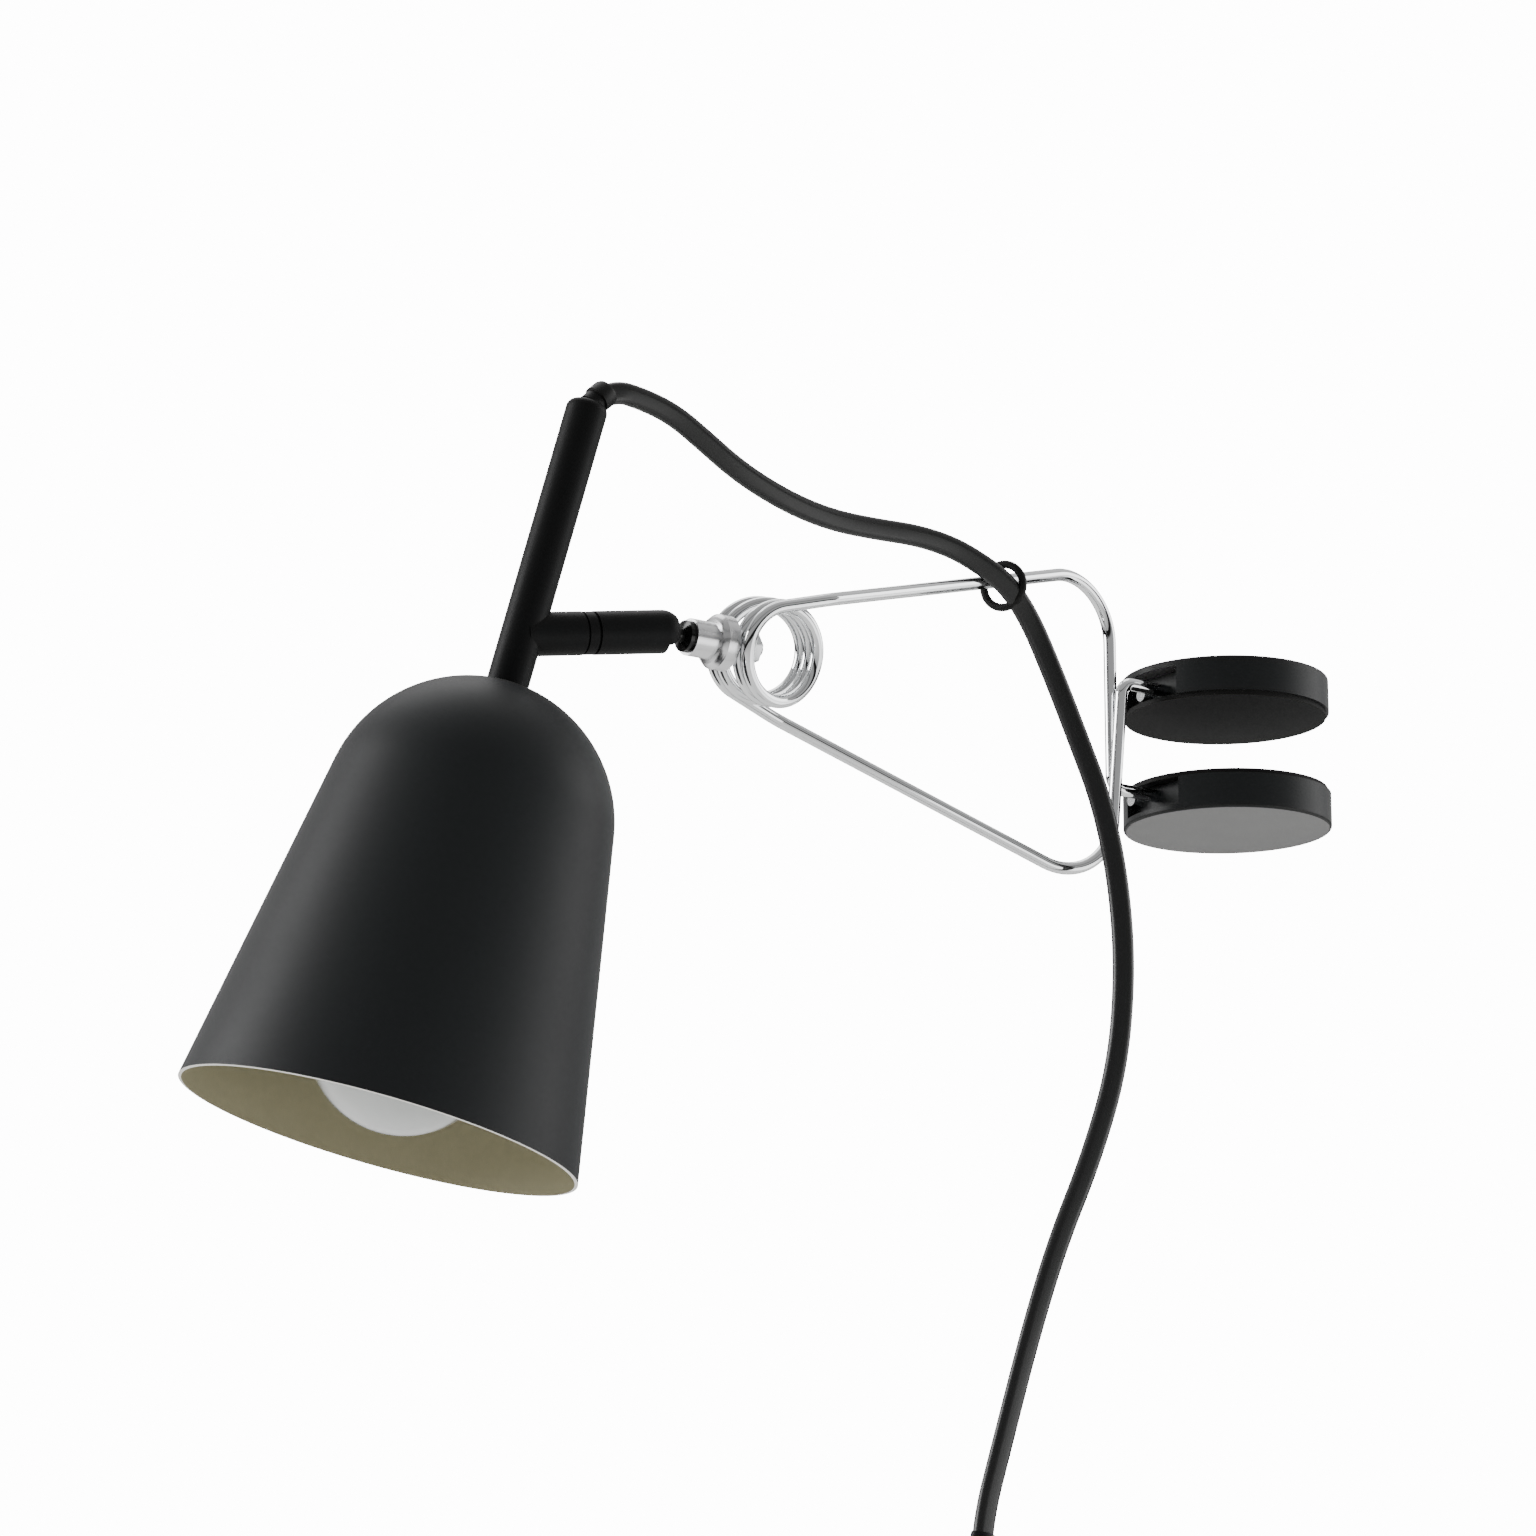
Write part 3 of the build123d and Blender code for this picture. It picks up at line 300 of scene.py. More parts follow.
def drift_and_painted_reflection_group() -> bpy.types.NodeTree:
    """Slight drift of a base colour over the surface; on the bulb it is strong enough to paint reflections.

    Returns:
        The group, with one Color output.
    """
    build = GroupBuilder("colour_drift_and_painted_reflection")
    build.socket("Color", "Color", value=(0.5, 0.5, 0.5, 1.0))
    build.socket("Amount", "Float", value=0.1)
    build.socket("Scale", "Float", value=35.0)
    build.socket("Color", "Color", is_input=False)
    place = build.node("TexCoord").outputs["Object"]
    noise = build.node("TexNoise", {"Vector": place, "Scale": build.inside.outputs["Scale"], "Detail": 6.0})
    centred = build.node("Math", {0: noise.outputs["Fac"], 1: 0.5}, operation="SUBTRACT")
    share = build.node(
        "Math", {0: centred.outputs[0], 1: build.inside.outputs["Amount"], 2: 1.0}, operation="MULTIPLY_ADD"
    )
    tint = build.node("VectorMath", {0: build.inside.outputs["Color"]}, operation="SCALE")
    build.tree.links.new(share.outputs[0], tint.inputs["Scale"])
    build.tree.links.new(tint.outputs[0], build.outside.inputs["Color"])
    return build.tree


def turning_group() -> bpy.types.NodeTree:
    """Faint rings that a lathe tool leaves, square to an axis.

    Returns:
        The group, with one Height output.
    """
    build = GroupBuilder("turning_marks")
    build.socket("Axis", "Vector", value=(1.0, 0.0, 0.0))
    build.socket("Rings per metre", "Float", value=9000.0)
    build.socket("Height", "Float", is_input=False)
    place = build.node("TexCoord").outputs["Object"]
    along = build.node("VectorMath", {0: place, 1: build.inside.outputs["Axis"]}, operation="DOT_PRODUCT")
    count = build.node(
        "Math", {0: along.outputs["Value"], 1: build.inside.outputs["Rings per metre"]}, operation="MULTIPLY"
    )
    along = {"W": count.outputs[0], "Scale": 0.35, "Detail": 4.0}
    uneven = build.node("TexNoise", along, noise_dimensions="1D")
    build.tree.links.new(uneven.outputs["Fac"], build.outside.inputs["Height"])
    return build.tree


class Groups:
    """The shared shader groups, each built once."""

    made: dict[str, bpy.types.NodeTree] = {}

    @classmethod
    def get(cls, maker: Callable[[], bpy.types.NodeTree]) -> bpy.types.NodeTree:
        """The group that a function builds, built on first use."""
        if maker.__name__ not in cls.made:
            cls.made[maker.__name__] = maker()
        return cls.made[maker.__name__]


class Finish:
    """A surface finish: subclasses fill in the nodes of its one material."""

    name: str

    def material(self) -> bpy.types.Material:
        """The finish's material, built on first use."""
        title = f"{self.name}_finish"
        known = bpy.data.materials.get(title)
        if known:
            return known
        made = bpy.data.materials.new(title)
        made.use_nodes = True
        self.dress(made.node_tree, made.node_tree.nodes["Principled BSDF"])
        return made

    def dress(self, tree: bpy.types.NodeTree, shader: bpy.types.Node) -> None:
        """Fill in the material.

        Args:
            tree: the material's nodes.
            shader: its Principled BSDF.
        """
        raise NotImplementedError

    @staticmethod
    def place_group(
        tree: bpy.types.NodeTree, maker: Callable[[], bpy.types.NodeTree], values: dict
    ) -> bpy.types.Node:
        """Put a shared group into a material with this finish's own values."""
        made = add_node(tree, "Group", node_tree=Groups.get(maker))
        for key, value in values.items():
            made.inputs[key].default_value = value
        return made


@dataclass(frozen=True)
class Coated(Finish):
    """Paint, moulded plastic or rubber: a coloured skin with grain."""

    name: str
    color: tuple[float, float, float]
    roughness: float
    spread: float = 0.10
    grain: float = 2400.0
    height: float = 0.010 * MM
    drift: float = 0.12
    specular: float = 0.5
    sheen: float = 0.0
    coat: float = 0.0

    def dress(self, tree: bpy.types.NodeTree, shader: bpy.types.Node) -> None:
        """Colour drift, uneven gloss and grain."""
        color = self.place_group(tree, drift_and_painted_reflection_group, {"Color": (*self.color, 1.0), "Amount": self.drift})
        grain = self.place_group(
            tree, grain_group, {"Scale": self.grain, "Roughness": self.roughness, "Spread": self.spread}
        )
        skin = {"Height": grain.outputs["Height"], "Distance": self.height, "Strength": 1.0}
        bump = add_node(tree, "Bump", skin)
        tree.links.new(color.outputs["Color"], shader.inputs["Base Color"])
        tree.links.new(grain.outputs["Roughness"], shader.inputs["Roughness"])
        tree.links.new(bump.outputs["Normal"], shader.inputs["Normal"])
        shader.inputs["Specular IOR Level"].default_value = self.specular
        shader.inputs["Sheen Weight"].default_value = self.sheen
        shader.inputs["Coat Weight"].default_value = self.coat


@dataclass(frozen=True)
class Plated(Finish):
    """Bare or plated metal, with turning marks where it was made on a lathe."""

    name: str
    color: tuple[float, float, float]
    roughness: float
    spread: float = 0.06
    axis: tuple[float, float, float] = (1.0, 0.0, 0.0)
    marks: float = 0.0

    def dress(self, tree: bpy.types.NodeTree, shader: bpy.types.Node) -> None:
        """Metal with slight unevenness of tone and gloss."""
        metal = {"Color": (*self.color, 1.0), "Amount": 0.06, "Scale": 90.0}
        color = self.place_group(tree, drift_and_painted_reflection_group, metal)
        grain = self.place_group(
            tree, grain_group, {"Scale": 900.0, "Roughness": self.roughness, "Spread": self.spread}
        )
        tree.links.new(color.outputs["Color"], shader.inputs["Base Color"])
        tree.links.new(grain.outputs["Roughness"], shader.inputs["Roughness"])
        shader.inputs["Metallic"].default_value = 1.0
        if self.marks:
            rings = self.place_group(tree, turning_group, {"Axis": self.axis})
            bump = add_node(tree, "Bump", {"Height": rings.outputs["Height"], "Distance": self.marks})
            tree.links.new(bump.outputs["Normal"], shader.inputs["Normal"])


@dataclass(frozen=True)
class BulbGlass(Finish):
    """Opal glass with a glossy skin over a soft white body, its strong colour drift painting reflections."""

    name: str = "opal_glass"

    def dress(self, tree: bpy.types.NodeTree, shader: bpy.types.Node) -> None:
        """Milky body with painted reflections from a strong colour drift, clear glossy skin."""
        milk = (0.56, 0.58, 0.58, 1.0)
        # painted reflection: a drift of 0.30 at a broad scale stands in for reflections in the glass
        color = self.place_group(tree, drift_and_painted_reflection_group, {"Color": milk, "Amount": 0.30, "Scale": 38.0})
        grain = self.place_group(tree, grain_group, {"Scale": 500.0, "Roughness": 0.08, "Spread": 0.06})
        tree.links.new(color.outputs["Color"], shader.inputs["Base Color"])
        tree.links.new(grain.outputs["Roughness"], shader.inputs["Roughness"])
        shader.inputs["Subsurface Weight"].default_value = 0.25
        shader.inputs["Subsurface Radius"].default_value = (0.006, 0.006, 0.007)
        shader.inputs["Subsurface Scale"].default_value = 1.0
        shader.inputs["Coat Weight"].default_value = 1.0
        shader.inputs["Coat Roughness"].default_value = 0.03


SHADE_PAINT = Coated("shade_outside_paint", (0.0150, 0.0160, 0.0172), 0.50, grain=3200.0, specular=0.16)
SHADE_LINING = Coated(
    "shade_inside_paint", (0.27, 0.248, 0.150), 0.62, grain=3000.0, drift=0.08, specular=0.3
)
RIM_PAINT = Coated("bare_rim", (0.86, 0.85, 0.80), 0.35, grain=1500.0)
TUBE_PAINT = Coated("tube_paint", (0.0075, 0.0075, 0.0078), 0.46, grain=2600.0, specular=0.08)
STUD_GLOSS = Coated("stud_gloss", (0.004, 0.004, 0.004), 0.18, grain=1200.0, height=0.003 * MM, specular=0.3)
PAD_WALL = Coated("pad_wall_plastic", (0.0135, 0.0142, 0.0148), 0.42, grain=1900.0, specular=0.14)
PAD_COVER = Coated(
    "pad_cover_plastic", (0.058, 0.058, 0.059), 0.30, grain=1500.0, height=0.006 * MM, specular=0.75
)
PAD_GRIP = Coated("pad_rubber", (0.007, 0.007, 0.007), 0.70, grain=1400.0, height=0.03 * MM, specular=0.15)
BLACK_PLASTIC = Coated("black_plastic", (0.0085, 0.0085, 0.009), 0.38, grain=1700.0, specular=0.2)
KEY_PLASTIC = Coated(
    "key_plastic", (0.010, 0.010, 0.011), 0.24, grain=1100.0, height=0.005 * MM, specular=0.3
)
NYLON = Coated("nylon", (0.0050, 0.0050, 0.0055), 0.40, grain=1500.0, specular=0.10)
RUBBER = Coated("ring_rubber", (0.0065, 0.0065, 0.0065), 0.46, grain=1300.0, height=0.008 * MM, specular=0.16)
SHEATH = Coated("cord_sheath", (0.0090, 0.0090, 0.0092), 0.36, grain=900.0, height=0.002 * MM, specular=0.42)
HOLDER_CORE = Coated("holder_core", (0.62, 0.60, 0.54), 0.55, grain=900.0, height=0.02 * MM)
CHROME_WIRE = Plated("chrome_wire", (0.80, 0.81, 0.82), 0.05, spread=0.03)
CHROME_CUP = Plated("chrome_cup", (0.74, 0.74, 0.75), 0.24, spread=0.12, marks=0.02 * MM)
ZINC = Plated("zinc_steel", (0.58, 0.59, 0.60), 0.32, axis=tuple(ARM_DIRECTION), marks=0.008 * MM)
BRASS = Plated("brass", (0.70, 0.50, 0.20), 0.30, axis=tuple(STEM_DIRECTION), marks=0.006 * MM)
CAP_METAL = Plated("cap_metal", (0.66, 0.66, 0.66), 0.28, axis=tuple(STEM_DIRECTION), marks=0.006 * MM)
TIE_SKIN = Coated("tie_skin", (0.010, 0.010, 0.010), 0.5, grain=900.0)
OPAL = BulbGlass()


# ---------------------------------------------------------------- mesh tools
def smooth(mesh: bpy.types.Mesh, angle: float = SMOOTH_ANGLE) -> None:
    """Shade a mesh smooth, with edges sharper than an angle left crisp."""
    mesh.shade_smooth()
    mesh.set_sharp_from_angle(angle=angle)


def new_object(name: str, mesh: bpy.types.Mesh) -> bpy.types.Object:
    """Put a mesh into the scene as an object of that name."""
    made = bpy.data.objects.new(name, mesh)
    bpy.context.scene.collection.objects.link(made)
    return made


def applied(piece: bpy.types.Object) -> bpy.types.Object:
    """Turn a piece and its modifiers into a plain mesh.

    Args:
        piece: a mesh object with modifiers.

    Returns:
        The same object, with no modifier left on it.
    """
    graph = bpy.context.evaluated_depsgraph_get()
    graph.update()
    flat = bpy.data.meshes.new_from_object(piece.evaluated_get(graph), preserve_all_data_layers=True, depsgraph=graph)
    piece.modifiers.clear()
    piece.data = flat
    return piece


def from_faces(
    name: str, points: Sequence[Vector], faces: Sequence[Sequence[int]], finishes: Sequence[Finish],
    choice: Optional[Sequence[int]] = None,
) -> bpy.types.Object:
    """Build a closed piece from points and faces.

    Args:
        name: the piece's name.
        points: its corners.
        faces: the corners of each face.
        finishes: the finishes it wears.
        choice: which finish each face wears; the first if left out.

    Returns:
        The piece, its normals outward.
    """
    mesh = bpy.data.meshes.new(name)
    mesh.from_pydata([tuple(p) for p in points], [], [tuple(f) for f in faces])
    for finish in finishes:
        mesh.materials.append(finish.material())
    if choice is not None:
        mesh.polygons.foreach_set("material_index", list(choice))
    work = bmesh.new()
    work.from_mesh(mesh)
    bmesh.ops.remove_doubles(work, verts=work.verts, dist=1e-7)
    bmesh.ops.recalc_face_normals(work, faces=work.faces)
    work.to_mesh(mesh)
    work.free()
    smooth(mesh)
    return new_object(name, mesh)


@dataclass
class Strand:
    """A line in space with a direction and a flat side at each of its points."""

    points: list[Vector]
    across: list[Vector] = field(default_factory=list)
    flat: list[Vector] = field(default_factory=list)

    def face(self, facing: Callable[[float], Vector]) -> "Strand":
        """Work out the flat side at each point.

        Args:
            facing: the way the broad face looks, by share of the way along.

        Returns:
            The strand itself.
        """
        last = len(self.points) - 1
        for i in range(last + 1):
            ahead = self.points[min(i + 1, last)] - self.points[max(i - 1, 0)]
            ahead.normalize()
            wanted = facing(i / last)
            out = (wanted - ahead * wanted.dot(ahead)).normalized()
            self.flat.append(out)
            self.across.append(ahead.cross(out))
        return self

    def cut(self, first: int, last: int) -> "Strand":
        """The stretch between two point numbers, both kept."""
        return Strand(self.points[first : last + 1], self.across[first : last + 1], self.flat[first : last + 1])

    def nearest(self, place: Vector) -> int:
        """Number of the point nearest a place."""
        return min(range(len(self.points)), key=lambda i: (self.points[i] - place).length)

    def length(self) -> float:
        """How long it is."""
        return sum((b - a).length for a, b in zip(self.points, self.points[1:]))


def sweep(
    name: str, strand: Strand, section: Sequence[tuple[float, float]], finish: Finish,
    grow: Optional[Callable[[float], float]] = None,
) -> bpy.types.Object:
    """Carry a section along a strand and close its ends.

    Args:
        name: the piece's name.
        strand: the line it follows.
        section: distance across and out of the flat side, of each corner.
        finish: what it wears.
        grow: size of the section by share of the way along.

    Returns:
        The swept piece.
    """
    count = len(section)
    last = len(strand.points) - 1
    points, faces = [], []
    for i, (here, across, out) in enumerate(zip(strand.points, strand.across, strand.flat)):
        size = grow(i / last) if grow else 1.0
        points += [here + across * (a * size) + out * (b * size) for a, b in section]
    for i in range(last):
        for j in range(count):
            k = (j + 1) % count
            faces.append((i * count + j, i * count + k, (i + 1) * count + k, (i + 1) * count + j))
    faces.append(tuple(range(count)))
    faces.append(tuple(last * count + j for j in reversed(range(count))))
    return from_faces(name, points, faces, [finish])


def nurbs_points(route: Sequence[Sequence[float]], resolution: int) -> list[Vector]:
    """Points along the smooth curve that a route's points control.

    Args:
        route: the control points, in metres.
        resolution: steps for each control point.

    Returns:
        The points, from the first control point to the last.
    """
    curve = bpy.data.curves.new("route", "CURVE")
    curve.dimensions = "3D"
    spline = curve.splines.new("NURBS")
    spline.points.add(len(route) - 1)
    for point, place in zip(spline.points, route):
        point.co = (*place, 1.0)
    spline.order_u = 3
    spline.use_endpoint_u = True
    spline.resolution_u = resolution
    holder = new_object("route", curve)
    graph = bpy.context.evaluated_depsgraph_get()
    line = bpy.data.meshes.new_from_object(holder.evaluated_get(graph), depsgraph=graph)
    points = [v.co.copy() for v in line.vertices]
    bpy.data.objects.remove(holder)
    bpy.data.curves.remove(curve)
    bpy.data.meshes.remove(line)
    return points


def dressed_copy(
    node: str, finish: Finish, bevel: float = 0.0, segments: int = 2, rides: bool = True
) -> bpy.types.Object:
    """A smooth, finely edged copy of a solid, which stands for it and rides with its body.

    Args:
        node: the solid's name.
        finish: what it wears.
        bevel: width of its broken edges, in metres; none if zero.
        segments: steps across a broken edge.
        rides: whether it follows its solid's body.

    Returns:
        The copy.
    """
    mesh = frame["nodes"][node].data.copy()
    mesh.materials.clear()
    mesh.materials.append(finish.material())
    work = bmesh.new()
    work.from_mesh(mesh)
    bmesh.ops.remove_doubles(work, verts=work.verts, dist=2e-7)
    if bevel:
        bmesh.ops.dissolve_limit(
            work, angle_limit=math.radians(0.8), use_dissolve_boundaries=False, verts=work.verts, edges=work.edges
        )
    for f in work.faces:
        f.material_index = 0
    work.to_mesh(mesh)
    work.free()
    if "material_index" in mesh.attributes:
        mesh.attributes.remove(mesh.attributes["material_index"])
    for name in [a.name for a in mesh.attributes if a.name == "custom_normal"]:
        mesh.attributes.remove(mesh.attributes[name])
    piece = new_object(f"{node}_piece", mesh)
    if bevel:
        edge = piece.modifiers.new("edges", "BEVEL")
        edge.width = bevel
        edge.segments = segments
        edge.limit_method = "ANGLE"
        edge.angle_limit = math.radians(40)
        applied(piece)
    smooth(piece.data)
    if rides:
        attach(piece, body_of(node))
    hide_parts(node)
    if slot_of(node):
        slot_of(node)
    return piece


# ---------------------------------------------------------------- geometry node trees
class NodeField:
    """Builds a geometry node tree, with short calls for its sums."""

    def __init__(self, name: str) -> None:
        """Start an empty tree with its geometry output.

        Args:
            name: the tree's name.
        """
        self.tree = bpy.data.node_groups.new(name, "GeometryNodeTree")
        self.tree.interface.new_socket(name="Geometry", in_out="INPUT", socket_type="NodeSocketGeometry")
        self.tree.interface.new_socket(name="Geometry", in_out="OUTPUT", socket_type="NodeSocketGeometry")
        self.inside = self.tree.nodes.new("NodeGroupInput")
        self.outside = self.tree.nodes.new("NodeGroupOutput")
        self.sockets: dict[str, str] = {}

    def size(self, name: str, kind: str = "Float") -> bpy.types.NodeSocket:
        """Add a named input and return the socket inside the tree."""
        made = self.tree.interface.new_socket(name=name, in_out="INPUT", socket_type=f"NodeSocket{kind}")
        self.sockets[name] = made.identifier
        return self.inside.outputs[name]

    def node(self, kind: str, links: Optional[dict] = None, **values: object) -> bpy.types.Node:
        """Add a node.

        Args:
            kind: its full type name.
            links: input name or number to a socket or a value.
            values: properties of the node.

        Returns:
            The new node.
        """
        made = self.tree.nodes.new(kind)
        for key, value in values.items():
            setattr(made, key, value)
        for key, source in (links or {}).items():
            if isinstance(source, bpy.types.NodeSocket):
                self.tree.links.new(source, made.inputs[key])
            else:
                made.inputs[key].default_value = source
        return made

    def math(self, operation: str, *terms: object) -> bpy.types.NodeSocket:
        """One sum of up to three terms."""
        return self.node("ShaderNodeMath", dict(enumerate(terms)), operation=operation).outputs[0]

    def close(self, geometry: bpy.types.NodeSocket, finish: bpy.types.NodeSocket) -> None:
        """End the tree: real geometry, with its material."""
        real = self.node("GeometryNodeRealizeInstances", {0: geometry})
        worn = self.node("GeometryNodeSetMaterial", {"Geometry": real.outputs[0], "Material": finish})
        self.tree.links.new(worn.outputs[0], self.outside.inputs["Geometry"])

    def grow(self, name: str, values: dict) -> bpy.types.Object:
        """Run the tree once and keep its result as a plain mesh.

        Args:
            name: the piece's name.
            values: input name to value.

        Returns:
            The piece.
        """
        piece = new_object(name, bpy.data.meshes.new(name))
        run = piece.modifiers.new("grow", "NODES")
        run.node_group = self.tree
        for key, value in values.items():
            run[self.sockets[key]] = value
        return applied(piece)


def bell_tree() -> NodeField:
    """Tree of a bell's skin: a straight flank that runs on into a round dome.

    Returns:
        The tree. Its inputs are the rim's and the dome's radius, the height, the hole at the top
        and how many steps there are round and along.
    """
    f = NodeField("bell_skin")
    rim, dome, height = f.size("Rim radius"), f.size("Dome radius"), f.size("Height")
    hole, around, along = f.size("Hole radius"), f.size("Steps round", "Int"), f.size("Steps along", "Int")
    finish = f.size("Finish", "Material")
    grid = f.node(
        "GeometryNodeMeshGrid",
        {"Size X": math.tau, "Size Y": 1.0, "Vertices X": around, "Vertices Y": along},
    )
    here = f.node("ShaderNodeSeparateXYZ", {0: f.node("GeometryNodeInputPosition").outputs[0]})
    turn = here.outputs["X"]
    share = f.math("ADD", here.outputs["Y"], 0.5)
    centre = f.math("SUBTRACT", height, dome)
    reach = f.math("SQRT", f.math("ADD", f.math("POWER", rim, 2.0), f.math("POWER", centre, 2.0)))
    lean = f.math(
        "SUBTRACT", f.math("ARCCOSINE", f.math("DIVIDE", dome, reach)), f.math("ARCTAN2", centre, rim)
    )
    meet_radius = f.math("MULTIPLY", dome, f.math("COSINE", lean))
    meet_height = f.math("MULTIPLY_ADD", dome, f.math("SINE", lean), centre)
    flank = f.math(
        "SQRT",
        f.math("ADD", f.math("POWER", f.math("SUBTRACT", rim, meet_radius), 2.0), f.math("POWER", meet_height, 2.0)),
    )
    last_angle = f.math("ARCCOSINE", f.math("DIVIDE", hole, dome))
    arc = f.math("MULTIPLY", dome, f.math("SUBTRACT", last_angle, lean))
    walked = f.math("MULTIPLY", share, f.math("ADD", flank, arc))
    on_flank = f.math("MINIMUM", f.math("DIVIDE", walked, flank), 1.0)
    flank_radius = f.math("MULTIPLY_ADD", f.math("SUBTRACT", meet_radius, rim), on_flank, rim)
    angle = f.math(
        "ADD", lean, f.math("DIVIDE", f.math("MAXIMUM", f.math("SUBTRACT", walked, flank), 0.0), dome)
    )
    dome_radius = f.math("MULTIPLY", dome, f.math("COSINE", angle))
    dome_height = f.math("MULTIPLY_ADD", dome, f.math("SINE", angle), centre)
    above = f.math("GREATER_THAN", walked, flank)
    radius = f.math("MULTIPLY_ADD", f.math("SUBTRACT", dome_radius, flank_radius), above, flank_radius)
    flank_height = f.math("MULTIPLY", meet_height, on_flank)
    level = f.math("MULTIPLY_ADD", f.math("SUBTRACT", dome_height, flank_height), above, flank_height)
    place = f.node(
        "ShaderNodeCombineXYZ",
        {
            0: f.math("MULTIPLY", radius, f.math("COSINE", turn)),
            1: f.math("MULTIPLY", radius, f.math("SINE", turn)),
            2: level,
        },
    )
    bent = f.node("GeometryNodeSetPosition", {"Geometry": grid.outputs["Mesh"], "Position": place.outputs[0]})
    closed = f.node("GeometryNodeMergeByDistance", {"Geometry": bent.outputs[0], "Distance": 1e-6})
    f.close(closed.outputs[0], finish)
    return f


def wraps_tree() -> NodeField:
    """Tree of wire loops, side by side, each a rounded rectangle about X.

    Returns:
        The tree. Its inputs are the loops' number, spacing, width, height, corner and thickness.
    """
    f = NodeField("tie_wraps")
    count, pitch = f.size("Count", "Int"), f.size("Spacing")
    width, height, corner, thick = f.size("Width"), f.size("Height"), f.size("Corner"), f.size("Thickness")
    finish = f.size("Finish", "Material")
    loop = f.node("GeometryNodeCurvePrimitiveQuadrilateral", {"Width": width, "Height": height})
    rounded = f.node(
        "GeometryNodeFilletCurve", {"Curve": loop.outputs[0], "Radius": corner, "Count": 6}, mode="POLY"
    )
    section = f.node("GeometryNodeCurvePrimitiveCircle", {"Resolution": 10, "Radius": thick})
    wire = f.node("GeometryNodeCurveToMesh", {"Curve": rounded.outputs[0], "Profile Curve": section.outputs[0]})
    upright = f.node(
        "GeometryNodeTransform", {"Geometry": wire.outputs[0], "Rotation": (math.pi / 2, 0.0, math.pi / 2)}
    )
    step = f.node("ShaderNodeCombineXYZ", {0: pitch})
    back = f.math("MULTIPLY", pitch, f.math("MULTIPLY", f.math("SUBTRACT", count, 1.0), -0.5))
    start = f.node("ShaderNodeCombineXYZ", {0: back})
    line = f.node(
        "GeometryNodeMeshLine", {"Count": count, "Start Location": start.outputs[0], "Offset": step.outputs[0]}
    )
    row = f.node("GeometryNodeInstanceOnPoints", {"Points": line.outputs[0], "Instance": upright.outputs[0]})
    f.close(row.outputs[0], finish)
    return f


def stand_on(piece: bpy.types.Object, axes: Axes) -> bpy.types.Object:
    """Carry a mesh built about the world's Z to stand on a place's axes."""
    turn = Matrix((axes.x, axes.y, axes.z)).transposed().to_4x4()
    piece.data.transform(Matrix.Translation(axes.origin) @ turn)
    return piece


